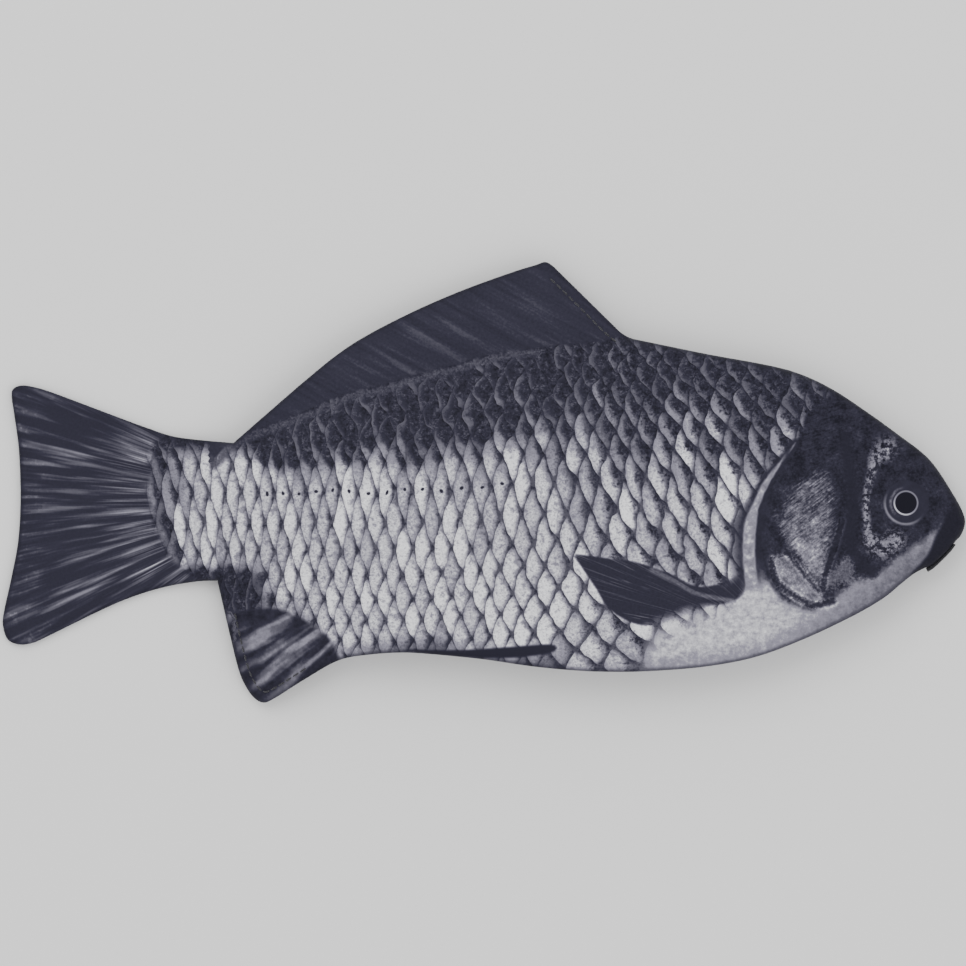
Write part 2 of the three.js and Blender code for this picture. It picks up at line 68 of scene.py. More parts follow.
# ---- The pouch's own sizes, as in its solids ----
HALF_LENGTH = 150.0
CLOTH, FOAM, LINING, GAP = 1.1, 1.8, 0.5, 0.3
SEAM_HALF = CLOTH + GAP / 2
SEAM_HEIGHT = 10.5
PUFF = 11.5
FIN_DROOP = 0.005
LIP_OPENING = 0.095
ROUNDNESS = 0.6
TAIL_ROOT = -100.0
SEAM_ALLOWANCE = 6.5
BEHIND_COIL = 1.15  # room for the tape and the slider's wall, on the lining's side of the coil
COIL_HALF_WIDTH, COIL_HALF_HEIGHT, COIL_WIRE, COIL_PITCH = 1.0, 1.05, 0.34, 1.5
TAPE_HALF, TAPE_RIB = 0.25, 0.07
OPENING = (-44.7, -24.0, 120.0, 138.4)

BACK_LINE = [
    (-105, 14), (-78, 12.5), (-56.5, 21.5), (-34.5, 29.5), (-15, 35.5), (5, 40), (21, 42.5),
    (46, 44.6), (69.5, 40), (89.5, 36.3), (109, 28.8), (129, 15), (139, 7), (146.5, -4), (150, -13)]
BELLY_LINE = [
    (-105, -33.5), (-83, -30.6), (-66, -38.5), (-54, -46), (-45, -55.4), (-35, -53.6), (-25, -53),
    (-15, -53.6), (0, -55.1), (14.5, -57.2), (29, -58.6), (42, -59), (54.5, -58.6), (69.5, -57.3),
    (84.5, -54.4), (99, -49.1), (114, -42.1), (124, -36.4), (130, -31.6), (137, -27.2), (144, -23.1),
    (150, -13)]
CUT_EDGE = [
    # tail: upper edge, round tip, hollow end, round lower lobe, lower edge
    [(-78, 12.3), (-95, 14), (-105, 17), (-120, 22.6), (-135, 28.2), (-141, 29.9), (-144.5, 30.2),
     (-147, 28.9), (-147.2, 26), (-146.6, 22), (-145, 10), (-144.5, -5), (-145.2, -18), (-147.2, -29),
     (-149.6, -40), (-150, -44.5), (-148.5, -49), (-145, -50.6), (-141, -50.2), (-136.5, -48.3),
     (-120, -40.2), (-110, -35.9), (-100, -32.8), (-90, -31), (-83, -30.6)],
    # anal fin: rear edge and round tip, then its lower edge, belly and jaw
    [(-83, -30.6), (-79.5, -46), (-76.4, -58.5), (-74, -64), (-71.5, -67.3), (-68.7, -68.7),
     (-65.3, -67.4), (-55.3, -61.1), *BELLY_LINE[4:19], (134.1, -28.4), (137.6, -26.6)],
    # mouth and snout, head and nape, dorsal fin
    [(137.6, -26.6), (139.3, -26), (142.2, -23.5), (144.9, -20.9), (147.2, -18.2), (148.8, -16.4),
     (150, -13), (149.5, -9.8), (146.5, -4), (139, 7), (129, 15), (119, 22.2), (109, 28.8),
     (99.5, 33.4), (89.5, 36.3), (69.5, 40), (50, 44), (46, 44.9), (43, 46.5), (39.5, 49.8),
     (24.5, 64.6), (21.6, 67.4), (19.2, 68.7), (16, 67.7), (9.5, 65.7), (-5.5, 60.3), (-20.5, 53.9),
     (-35.5, 46.3), (-45.5, 39.9), (-55.5, 31.8), (-65.5, 23.2), (-78, 12.3)]]

# ---- Lines of the print, drawn on the flat cloth ----
DORSAL_BASE = [
    (-84, 7), (-76.2, 14), (-57, 21.5), (-44.5, 26.9), (-30.4, 30.7), (-18.7, 34), (-7, 37), (3.9, 40.3),
    (18.1, 42), (34.7, 43.6), (44, 46), (50, 52)]
TAIL_BASE = [
    (-95, 22), (-99.3, 14.8), (-103.6, 11.2), (-104.8, 6.4), (-103.6, 1.7), (-105.9, -1.9), (-104.2, -6.7),
    (-103, -12.6), (-100.5, -18.5), (-97, -24.5), (-90, -30), (-84, -36)]
ANAL_BASE = [
    (-88, -36), (-79, -39.6), (-70, -39.3), (-62.6, -39.9), (-52.8, -44.7), (-47.5, -49.4), (-44.9, -55.3),
    (-43, -62)]
GILL_LINE = [
    (112, 32), (107, 26.3), (100.5, 21), (98, 14), (91.8, 5), (87.2, -1.6), (84.2, -7.5), (82.2, -14),
    (81.8, -22.7), (82.0, -30), (79, -36), (69, -40.5), (58, -45), (51, -52), (47, -66)]
CRESCENT = [
    (97.0, 12.2), (92.4, 6.2), (87.8, -0.3), (85.0, -6.3), (83.4, -11), (82.6, -16), (82.5, -23), (83, -29),
    (83.6, -34)]
PECTORAL = [
    (27.8, -22.3), (36, -23.4), (47.2, -24.9), (58.2, -28.7), (66, -32.4), (74, -31.5), (80.2, -28.7),
    (81.5, -34.6), (78.5, -37.1), (68.4, -38.8), (58.2, -43), (48.9, -44.3), (39.6, -39.7), (34.5, -32.1)]
PECTORAL_RAY = [(52, -27), (60, -31), (66, -34.5), (78, -37)]
PELVIC = [
    (-24, -52.2), (-8, -52.4), (6, -51.6), (20, -50.6), (22.5, -51.6), (20, -53), (8, -54.4), (-8, -54)]
OPERCLE_ARC = [(89.5, -24), (91, -30.4), (95.5, -34.4), (102.2, -38), (109, -37.1)]
OPERCLE_RIB = [(94, -21.5), (99, -27.5), (104.6, -33.8), (106.5, -28), (109.2, -20), (111.5, -12)]
CHEEK = [
    (95, -3), (99, 1.5), (103.5, 3.5), (108, 2.5), (109.5, -5), (109, -13), (107.2, -21), (104.5, -30.5),
    (101, -27.5), (96.5, -21.5), (92, -16), (91, -9)]
LOWER_OPERCLE = [
    (89.4, -23), (95.5, -22.8), (104.2, -31.6), (105.4, -37.9), (100, -38.4), (95, -36.2), (91.6, -32), (89.6, -27)]
THROAT_LINE = [
    (80, -19), (87.2, -27), (90.6, -33.4), (95.5, -37.4), (102, -39.2), (108, -37.2), (111, -33.6),
    (116, -31), (121.5, -28.4), (125.4, -25.2), (130, -21.8), (136.4, -17.6), (141.2, -13.4), (150, -9)]
MOUTH_EDGE = [(135.8, -29.5), (138.5, -27.3), (143, -24), (147, -19.5), (150, -14)]
BLOTCHES = [(107.8, -31), (110, -29), (113.6, -25), (113, -30), (118, -32)]
PREOPERCLE = [(112.5, 14), (113.5, 4), (115, -6), (114, -16), (116, -24), (121, -28)]
FLECKS = [
    (125.5, 11), (122, 7), (120.6, 3), (119.4, -2), (119, -8), (119.3, -13), (120.5, -18), (124.5, -20.5),
    (128, -18)]
EYE = (131.4, -6.4)


def smooth(t):
    t = np.clip(t, 0.0, 1.0)
    return t * t * (3.0 - 2.0 * t)


def through(knots):
    """A smooth curve y(x) through knots, level past its ends."""
    knots = np.array(knots, float)
    xs, ys = knots.T
    before, after = np.r_[0, 0:len(xs) - 1], np.r_[1:len(xs), len(xs) - 1]
    slopes = (ys[after] - ys[before]) / (xs[after] - xs[before])

    def curve(x):
        x = np.clip(x, xs[0], xs[-1])
        i = np.clip(np.searchsorted(xs, x), 1, len(xs) - 1)
        width = xs[i] - xs[i - 1]
        t = (x - xs[i - 1]) / width
        bend = slopes[i - 1] * width * t * (1 - t) ** 2 - slopes[i] * width * t * t * (1 - t)
        return ys[i - 1] + (ys[i] - ys[i - 1]) * t * t * (3 - 2 * t) + bend

    return curve


back_line, belly_line = through(BACK_LINE), through(BELLY_LINE)


def spline(points, spacing):
    """Points along a smooth line through the given ones, about spacing apart."""
    p = np.array(points, float)
    p = np.vstack([p[0], p, p[-1]])
    line = []
    for i in range(1, len(p) - 2):
        a, b, c, d = p[i - 1:i + 3]
        steps = max(1, int(math.ceil(np.linalg.norm(c - b) / spacing)))
        for t in np.arange(steps) / steps:
            v0, v1 = (c - a) / 2, (d - b) / 2
            line.append(b + v0 * t + (3 * (c - b) - 2 * v0 - v1) * t * t + (2 * (b - c) + v0 + v1) * t ** 3)
    line.append(p[-2])
    return np.array(line)


def line_distance(points, line, closed=False):
    """Distance from each point to a polyline, and which side it is on: left of the line is positive."""
    a = line
    b = np.roll(line, -1, axis=0) if closed else line[1:]
    a = a if closed else line[:-1]
    best = np.full(len(points), 1e9)
    side = np.ones(len(points))
    along = np.zeros(len(points))
    lengths = np.linalg.norm(b - a, axis=1)
    starts = np.r_[0, np.cumsum(lengths)[:-1]]
    for p0, p1, length, start in zip(a, b, lengths, starts):
        way = (p1 - p0) / max(length, 1e-9)
        rel = points - p0
        t = np.clip(rel @ way, 0, length)
        off = rel - t[:, None] * way
        distance = np.hypot(off[:, 0], off[:, 1])
        nearer = distance < best - 1e-9
        best = np.where(nearer, distance, best)
        cross = way[0] * rel[:, 1] - way[1] * rel[:, 0]
        side = np.where(nearer, np.where(cross >= 0, 1.0, -1.0), side)
        along = np.where(nearer, start + t, along)
    return best, side, along


def signed(points, drawn):
    distance, side, _ = line_distance(points, spline(drawn, 1.5))
    return distance * side


def inside(points, loop):
    """Which points lie within a closed outline."""
    x, y = points[:, 0], points[:, 1]
    result = np.zeros(len(points), bool)
    x0, y0 = loop[-1]
    for x1, y1 in loop:
        crosses = (y1 > y) != (y0 > y)
        with np.errstate(divide="ignore", invalid="ignore"):
            at = (x0 - x1) * (y - y1) / (y0 - y1) + x1
        result ^= crosses & (x < at)
        x0, y0 = x1, y1
    return result


def depth_in(points, drawn):
    """Signed distance to a closed outline, positive within it."""
    loop = spline(drawn + drawn[:1], 1.5)[:-1]
    distance, _, _ = line_distance(points, loop, closed=True)
    return np.where(inside(points, loop), distance, -distance)


# ---- The puffed shape, the same as the solids' ----
def fullness(x):
    s = np.clip((x - TAIL_ROOT) / (HALF_LENGTH - TAIL_ROOT), 0, 1)
    peak = 0.8 / 1.4
    return s ** 0.8 * (1 - s) ** 0.6 / (peak ** 0.8 * (1 - peak) ** 0.6)


def lip_share(x):
    rear, rear_full, front_full, front = OPENING
    closing = np.minimum(smooth((x - rear) / (rear_full - rear)), smooth((front - x) / (front - front_full)))
    return LIP_OPENING * closing


def half(x, y):
    low, share = belly_line(x), lip_share(x)
    depth = np.maximum(back_line(x) - low, GAP)
    v = np.clip(((y - low) / depth + share) / (1 + share), 0, 1)
    return SEAM_HALF + PUFF * fullness(x) * (4 * v * (1 - v)) ** ROUNDNESS


def middle(x, y):
    tail_side = smooth((x + 105) / 50)
    nose_side = smooth((x - 125) / 25)
    level = SEAM_HALF + (SEAM_HEIGHT - SEAM_HALF) * tail_side - 2.5 * nose_side
    past = np.maximum(0, np.maximum(y - back_line(x), belly_line(x) - y))
    return np.maximum(SEAM_HALF, level - FIN_DROOP * past ** 2)


def outer_face(x, y, side):
    if side > 0:
        return middle(x, y) + half(x, y)
    return np.maximum(0, middle(x, y) - half(x, y))


# ---- Outlines ----
CLOTH_OUTLINE = np.vstack([spline(stretch, 0.8)[:-1] for stretch in CUT_EDGE])


def zip_arc():
    """Centre and radius of the zip's arc, from the slider's hinge and the coil's place."""
    centre = np.array(JOINTS["zip_travel"]["pos_m"][:2]) / MM
    box = np.array(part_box("lower_zip_coil")) / MM
    return centre, centre[1] - box[0][1] - COIL_HALF_WIDTH


ARC_CENTRE, ARC_RADIUS = zip_arc()


def lining_outline():
    """Foam and lining stop inside the seam, and behind the zip."""
    xs = np.linspace(-66, 132, 100)
    behind = ARC_RADIUS - COIL_HALF_WIDTH - BEHIND_COIL - 2 * GAP
    round_zip = ARC_CENTRE[1] - np.sqrt(behind ** 2 - (xs - ARC_CENTRE[0]) ** 2)
    bottom = np.maximum(belly_line(xs) + SEAM_ALLOWANCE, round_zip)
    top = back_line(xs) - SEAM_ALLOWANCE
    return np.vstack([np.c_[xs, bottom], np.c_[xs, top][::-1]])


# ---- Building a layer of cloth ----
INNER_FACE = -4.0  # what a printed wall's inner face carries in place of a distance from the edge


def plan_mesh(outline, spacing):
    """A triangulated plan of an outline: its edge, two rows just inside it, and an even field of points."""
    low, high = outline.min(axis=0), outline.max(axis=0)
    rows = np.arange(low[1], high[1], spacing * 0.866)
    field = []
    for n, y in enumerate(rows):
        xs = np.arange(low[0] + (n % 2) * spacing / 2, high[0], spacing)
        field.append(np.c_[xs, np.full(len(xs), y)])
    field = np.vstack(field)
    field = field[inside(field, outline)]
    distance, _, _ = line_distance(field, outline, closed=True)
    field = field[distance > spacing * 0.95]
    after, before = np.roll(outline, -1, axis=0), np.roll(outline, 1, axis=0)
    way = after - before
    way /= np.linalg.norm(way, axis=1)[:, None]
    turned = np.c_[-way[:, 1], way[:, 0]]
    if np.cross(outline, after).sum() < 0:
        turned = -turned
    rings = []
    for inset in (0.28, 0.7):
        ring = outline + turned * inset
        clear, _, _ = line_distance(ring, outline, closed=True)
        rings.append(ring[(clear > inset * 0.9) & inside(ring, outline)])
    points = np.vstack([outline] + rings + [field])
    edges = [(i, (i + 1) % len(outline)) for i in range(len(outline))]
    verts, _, faces, _, _, _ = delaunay_2d_cdt([Vector(p) for p in points], edges, [], 1, 1e-5)
    return np.array([[v.x, v.y] for v in verts]), [list(f) for f in faces]


def cloth_layer(name, plan, faces, outline, side, top, bottom, round_edge=True, relief=None):
    """A closed layer of a wall between two depths below its outer face. side is 1 for the upper wall."""
    x, y = plan[:, 0], plan[:, 1]
    distance, _, _ = line_distance(plan, outline, closed=True)
    face = outer_face(x, y, side)
    thick = bottom - top
    radius = thick * 0.95
    within = np.clip(distance / radius, 0, 1)
    rounding = (1 - np.sqrt(1 - (1 - within) ** 2)) * radius if round_edge else np.zeros(len(x))
    lift = relief(x, y, distance) if relief is not None else 0.0
    near = face - side * (top + rounding) + side * lift
    far = face - side * bottom
    if side < 0:
        near, far = np.maximum(near, 0.0), np.maximum(far, near + 0.02)
    count = len(plan)
    coords = np.vstack([np.c_[x, y, near], np.c_[x, y, far]]) * MM
    upward = [f if side > 0 else f[::-1] for f in faces]
    downward = [[i + count for i in f[::-1]] for f in upward]
    sides = [pair for f in upward for pair in zip(f, f[1:] + f[:1])]
    shared = set(sides)
    walls = [[b, a, a + count, b + count] for a, b in sides if (b, a) not in shared]
    mesh = bpy.data.meshes.new(name)
    mesh.from_pydata(coords.tolist(), [], upward + downward + walls)
    mesh.update()
    obj = bpy.data.objects.new(name, mesh)
    bpy.context.collection.objects.link(obj)
    mesh.polygons.foreach_set("use_smooth", [True] * len(mesh.polygons))
    return obj, np.vstack([plan, plan]), np.r_[distance, distance]


def set_vectors(obj, name, values):
    attribute = obj.data.attributes.new(name, "FLOAT_VECTOR", "POINT")
    attribute.data.foreach_set("vector", np.asarray(values, np.float32).ravel())


def set_uv(obj, points):
    layer = obj.data.uv_layers.new(name="cut")
    index = np.zeros(len(obj.data.loops), int)
    obj.data.loops.foreach_get("vertex_index", index)
    layer.data.foreach_set("uv", (points[index] / 300.0 + 0.5).astype(np.float32).ravel())


# ---- The print's fields ----
FAR_OFF = -20  # a distance outside a drawn shape that leaves no mark


def lateral_line(x):
    """Height of the lateral line, which dips behind the shoulder."""
    return through([(-110, -4), (-60, -2.9), (-25, -2.8), (10, -0.6), (50, 2), (90, 4)])(x)


def scale_lattice(x, y):
    """Half-column and row numbers of the scales at a point of the cloth."""
    rise = y - lateral_line(x)
    lean = x + 0.30 * rise * smooth((x - 10) / 60) + 0.10 * rise * smooth((-70 - x) / 20)
    start, end, narrow, wide = -57.0, 52.0, 5.1, 7.4
    growth = (wide - narrow) / (end - start)
    pitch = narrow + growth * (np.clip(lean, start, end) - start)
    column = 2 / growth * np.log(pitch / narrow)
    column += np.minimum(lean - start, 0) * 2 / narrow + np.maximum(lean - end, 0) * 2 / wide
    below, above = np.maximum(-rise, 0), np.maximum(rise, 0)
    tight = 0.098 + 0.022 * smooth((x + 10) / 70)
    row = above * tight + 0.0012 * above ** 2 - (below * 0.0985 + 0.00066 * below ** 2)
    return column, row


def body_tone(x, y):
    """Lightness of the body, 0 at the back to 1 on the flank, with painted shade along the belly seam."""
    rise = y - lateral_line(x)
    top = np.maximum(back_line(x) - lateral_line(x), 1)
    up = np.clip(rise / top, -2, 1)
    threshold = 0.26 + 0.60 * smooth((-62 - x) / 20)
    shade = 1 - smooth((up - threshold + 0.34) / 0.68)
    shoulder = smooth((x - 8) / 34)
    gradual = np.clip(0.79 - 0.66 * up, 0, 1) * (1 - 0.8 * smooth((up - 0.42) / 0.36) * smooth((84 - x) / 26))
    shade = shade + (gradual - shade) * shoulder
    nape = smooth((x - 66) / 16) * smooth((y - 2) / 10)
    # painted shade: a band 10 mm wide along the belly seam, towards the tail, darkened where the padded wall turns
    # down to the seam
    belly = smooth((belly_line(x) + 10 - y) / 10) * smooth((35 - x) / 30)
    peduncle = np.maximum(smooth((-62 - x) / 12) * smooth((-22 - y) / 8), smooth((-88 - x) / 11))
    return np.clip(shade * (1 - 0.25 * nape) - 0.52 * belly - 0.55 * peduncle, 0, 1)


def fan(x, y, centre):
    dx, dy = x - centre[0], y - centre[1]
    return np.arctan2(dy, -dx), np.hypot(dx, dy)


def print_fields(points):
    """The vectors that the print's material reads, one row per point."""
    def from_line(line):
        return line_distance(points, spline(line, 1.5))

    x, y = points[:, 0], points[:, 1]
    column, row = scale_lattice(x, y)
    lattice = np.c_[column, row, body_tone(x, y)]
    dorsal = signed(points, DORSAL_BASE)
    tail = -signed(points, TAIL_BASE)
    anal = -signed(points, ANAL_BASE)
    dorsal = np.where((x < -86) | (x > 60), FAR_OFF, dorsal)
    tail = np.where(x > -78, FAR_OFF, tail)
    anal = np.where((x > -38) | (x < -90), FAR_OFF, anal)
    fins = np.c_[dorsal, tail, anal]
    gill = signed(points, GILL_LINE)
    gill = np.where(x < 36, FAR_OFF, gill)
    cheek = np.maximum(depth_in(points, CHEEK), depth_in(points, LOWER_OPERCLE))
    pectoral = depth_in(points, PECTORAL)
    pelvic = depth_in(points, PELVIC)
    head = np.c_[gill, pectoral, pelvic]
    crescent, _, crescent_along = from_line(CRESCENT)
    ribs = np.minimum(from_line(OPERCLE_ARC)[0], from_line(OPERCLE_RIB)[0] + 0.2)
    ridge = np.where(x < 18, -dorsal, FAR_OFF)
    crescent = crescent - 0.10 - 0.9 * smooth(crescent_along / 20) - 0.9 * smooth((crescent_along - 22) / 8)
    marks = np.c_[crescent, ridge, ribs]
    band, _, _ = from_line(PREOPERCLE)
    fleck, _, fleck_along = from_line(FLECKS)
    spread = smooth((10 - fleck_along) / 9) + smooth((fleck_along - 26) / 8)
    fleck = fleck / (1 + 1.9 * spread)
    throat = -signed(points, THROAT_LINE)
    mouth, _, mouth_along = from_line(MOUTH_EDGE)
    mouth = mouth - 4.2 * smooth(mouth_along / 16)
    blotch, _, _ = from_line(BLOTCHES)
    streak, _, _ = from_line(PECTORAL_RAY)
    masks = np.c_[band, fleck, streak]
    tail_angle, tail_reach = fan(x, y, (-62, -5.5))
    anal_angle, anal_reach = fan(x, y, (-18, -22))
    dorsal_angle = (x * 0.48 + y * 0.88) * 0.035
    pectoral_angle, pectoral_reach = fan(x, y, (95, -50))
    ray = np.where(tail > -1.5, tail_angle, np.where(anal > -1.5, anal_angle, pectoral_angle))
    reach = np.where(tail > -1.5, tail_reach, np.where(anal > -1.5, anal_reach, pectoral_reach))
    ray = np.where(dorsal > -1.5, dorsal_angle, ray)
    reach = np.where(dorsal > -1.5, x * 0.88 - y * 0.48, reach)
    rays = np.c_[ray, reach, throat]
    return {"lattice": lattice, "fins": fins, "head": head, "marks": marks, "masks": masks, "rays": rays,
            "face": np.c_[cheek, mouth, blotch]}


# ---- Wiring materials ----
def colour(red, green, blue):
    """A linear colour from 0 to 255 screen values."""
    def linear(v):
        v /= 255
        return v / 12.92 if v <= 0.04045 else ((v + 0.055) / 1.055) ** 2.4
    return (linear(red), linear(green), linear(blue), 1.0)


def joining(operation, swapped=False):
    def join(self, other):
        return self.wiring.math(operation, *((other, self) if swapped else (self, other)))
    return join


class Signal:
    """A value that changes over the surface. Its sums, differences and products add a Math node each."""

    def __init__(self, wiring, socket):
        self.wiring, self.socket = wiring, socket

    __add__, __radd__ = joining("ADD"), joining("ADD", True)
    __sub__, __rsub__ = joining("SUBTRACT"), joining("SUBTRACT", True)
    __mul__, __rmul__ = joining("MULTIPLY"), joining("MULTIPLY", True)


class Wiring:
    """Adds nodes to a tree. A number, a socket or a signal may be given wherever a value is wanted."""

    def __init__(self, tree):
        self.tree = tree

    def node(self, kind, **settings):
        node = self.tree.nodes.new(kind)
        for key, value in settings.items():
            setattr(node, key, value)
        return node

    def feed(self, socket, value):
        if isinstance(value, Signal):
            value = value.socket
        if isinstance(value, bpy.types.NodeSocket):
            self.tree.links.new(value, socket)
        elif value is not None:
            socket.default_value = value

    def filled(self, node, values, output=0):
        """Feeds a node's inputs in their order and gives one output."""
        for socket, value in zip(node.inputs, values):
            self.feed(socket, value)
        return Signal(self, node.outputs[output])

    def math(self, operation, a, b=None, c=None):
        return self.filled(self.node("ShaderNodeMath", operation=operation), (a, b, c))

    def length(self, a, b):
        return self.math("SQRT", self.math("POWER", a, 2.0) + self.math("POWER", b, 2.0))

    def weave(self, along, across, pitch):
        """Height of a plain weave with this many units to a pair of threads."""
        turn = 2 * math.pi / pitch
        return self.math("SINE", along * turn) * self.math("SINE", across * turn)

    def step(self, value, low, high, start=0.0, end=1.0):
        """Goes smoothly from start to end as the value goes from low to high."""
        node = self.node("ShaderNodeMapRange", interpolation_type="SMOOTHSTEP")
        return self.filled(node, (value, low, high, start, end))

    def fall(self, value, low, high):
        return self.step(value, low, high, 1.0, 0.0)

    def blend(self, share, a, b, kind="FLOAT", ending="Float"):
        """A value between a and b."""
        node = self.node("ShaderNodeMix", data_type=kind)
        for name, value in (("Factor_Float", share), ("A_" + ending, a), ("B_" + ending, b)):
            self.feed(next(s for s in node.inputs if s.identifier == name), value)
        return Signal(self, next(s for s in node.outputs if s.identifier == "Result_" + ending))

    def blend_colour(self, share, a, b):
        return self.blend(share, a, b, "RGBA", "Color")

    def parts(self, vector):
        """The three numbers of a vector."""
        node = self.node("ShaderNodeSeparateXYZ")
        self.feed(node.inputs[0], vector)
        return tuple(Signal(self, socket) for socket in node.outputs)

    def attribute(self, name):
        """The three numbers of a mesh attribute."""
        return self.parts(self.node("ShaderNodeAttribute", attribute_name=name).outputs["Vector"])

    def on_piece(self):
        return self.node("ShaderNodeTexCoord").outputs["Object"]

    def vector(self, x, y, z=0.0):
        return self.filled(self.node("ShaderNodeCombineXYZ"), (x, y, z))

    def noise(self, place, scale, detail=2.0, roughness=0.5):
        node = self.node("ShaderNodeTexNoise", noise_dimensions="3D")
        self.feed(node.inputs["Vector"], place)
        for name, value in (("Scale", scale), ("Detail", detail), ("Roughness", roughness)):
            node.inputs[name].default_value = value
        return Signal(self, node.outputs[0])

    def group(self, group, **values):
        """All the outputs of a shader group."""
        node = self.node("ShaderNodeGroup", node_tree=group)
        for key, value in values.items():
            self.feed(node.inputs[key.capitalize()], value)
        return [Signal(self, socket) for socket in node.outputs]

    def bump(self, shader, height, distance, strength=1.0):
        """Gives a finish its relief. distance is in metres."""
        node = self.node("ShaderNodeBump")
        node.inputs["Strength"].default_value = strength
        node.inputs["Distance"].default_value = distance
        self.feed(node.inputs["Height"], height)
        self.feed(shader.inputs["Normal"], node.outputs[0])


def new_group(name, inputs, outputs):
    """An empty shader group. inputs and outputs are names, and a name that ends in a star is a vector."""
    group = bpy.data.node_groups.new(name, "ShaderNodeTree")
    for names, way in ((inputs, "INPUT"), (outputs, "OUTPUT")):
        for item in names:
            kind = "NodeSocketVector" if item.endswith("*") else "NodeSocketFloat"
            group.interface.new_socket(item.rstrip("*"), in_out=way, socket_type=kind)
    wiring = Wiring(group)
    given = [Signal(wiring, socket) for socket in wiring.node("NodeGroupInput").outputs]
    return group, wiring, given, wiring.node("NodeGroupOutput").inputs


def scale_pattern():
    """Overlapping scales, each free edge bowed to the tail. Column counts half columns, row counts rows."""
    group, w, given, out = new_group(
        "scale_pattern", ["Column", "Row", "Bow"],
        ["Behind edge", "Before next", "Along", "Across", "Lot", "Second lot"])
    column, row, bow = given[:3]
    base = w.math("FLOOR", column)
    part = column - base

    def offset(number):
        shifted = row - number
        return shifted - 2.0 * w.math("ROUND", shifted * 0.5)

    def bulge(across):
        return bow * (1.0 - w.math("POWER", w.math("ABSOLUTE", across), 1.65))

    here, front = (offset(base), offset(base + 1.0))
    bulge_here, bulge_front = bulge(here), bulge(front)
    edge_here = part + bulge_here
    edge_front = part + bulge_front - 1.0
    edge_second = edge_here - 2.0
    is_front = w.math("GREATER_THAN", edge_front, 0.0)
    across = w.blend(is_front, here, front)
    w.feed(out[0], w.blend(is_front, edge_here, edge_front))
    w.feed(out[1], -1.0 * w.blend(is_front, edge_front, edge_second))
    w.feed(out[2], part - is_front)
    w.feed(out[3], across)
    scale_id = w.vector(base + is_front, w.math("ROUND", row - across))
    for n, seed in enumerate((0.0, 7.0)):
        lot = w.node("ShaderNodeTexWhiteNoise", noise_dimensions="4D")
        w.feed(lot.inputs["Vector"], scale_id)
        lot.inputs["W"].default_value = seed
        w.feed(out[4 + n], lot.outputs[0])
    return group


def cloth_grain():
    """Speckle of the ink, mottling, and the height of a fine plain weave, from a place in millimetres."""
    group, w, given, out = new_group("cloth_grain", ["Place*"], ["Speckle", "Mottle", "Cloud", "Weave"])
    place = given[0]
    w.feed(out[0], w.noise(place, 1.15, 3.0, 0.7))
    w.feed(out[1], w.noise(place, 0.42, 4.0, 0.62))
    w.feed(out[2], w.noise(place, 0.11, 3.0, 0.5))
    along, across, _ = w.parts(place)
    w.feed(out[3], w.weave(along, across, 0.45))
    return group


def ray_streaks():
    """Light streaks along the rays of a fin, fine near its root and broad towards its edge."""
    group, w, given, out = new_group("ray_streaks", ["Angle", "Reach", "Count", "Gap"], ["Broad", "Fine"])
    angle, reach, count, gap = given[:4]
    broad = w.vector(angle * count, reach * gap)
    fine = w.vector(angle * (count * 2.6), reach * (gap * 0.6), 4.0)
    w.feed(out[0], w.noise(broad, 1.0, 2.0, 0.55))
    w.feed(out[1], w.noise(fine, 1.0, 2.0, 0.6))
    return group


SCALES, GRAIN, STREAKS = scale_pattern(), cloth_grain(), ray_streaks()


def new_material(name, **principled):
    material = bpy.data.materials.new(name)
    material.use_nodes = True
    wiring = Wiring(material.node_tree)
    shader = material.node_tree.nodes["Principled BSDF"]
    for key, value in principled.items():
        shader.inputs[key.replace("_", " ")].default_value = value
    return material, wiring, shader


# the cloth's colour at five strengths of ink, from full ink to bare cloth
INKS = [(0.0, (0.0062, 0.0058, 0.0125)), (0.25, (0.028, 0.0265, 0.045)), (0.5, (0.100, 0.096, 0.124)),
        (0.75, (0.272, 0.262, 0.325)), (1.0, (0.92, 0.92, 0.95))]


def ink(w, tone):
    """The print's cool blue-grey ink for a lightness from 0 to 1."""
    ramp = w.node("ShaderNodeValToRGB")
    stops = ramp.color_ramp.elements
    for place, shade in INKS:
        stop = stops[0] if place == 0 else stops[-1] if place == 1 else stops.new(place)
        stop.color = (*shade, 1.0)
    w.feed(ramp.inputs[0], tone)
    return ramp.outputs[0]


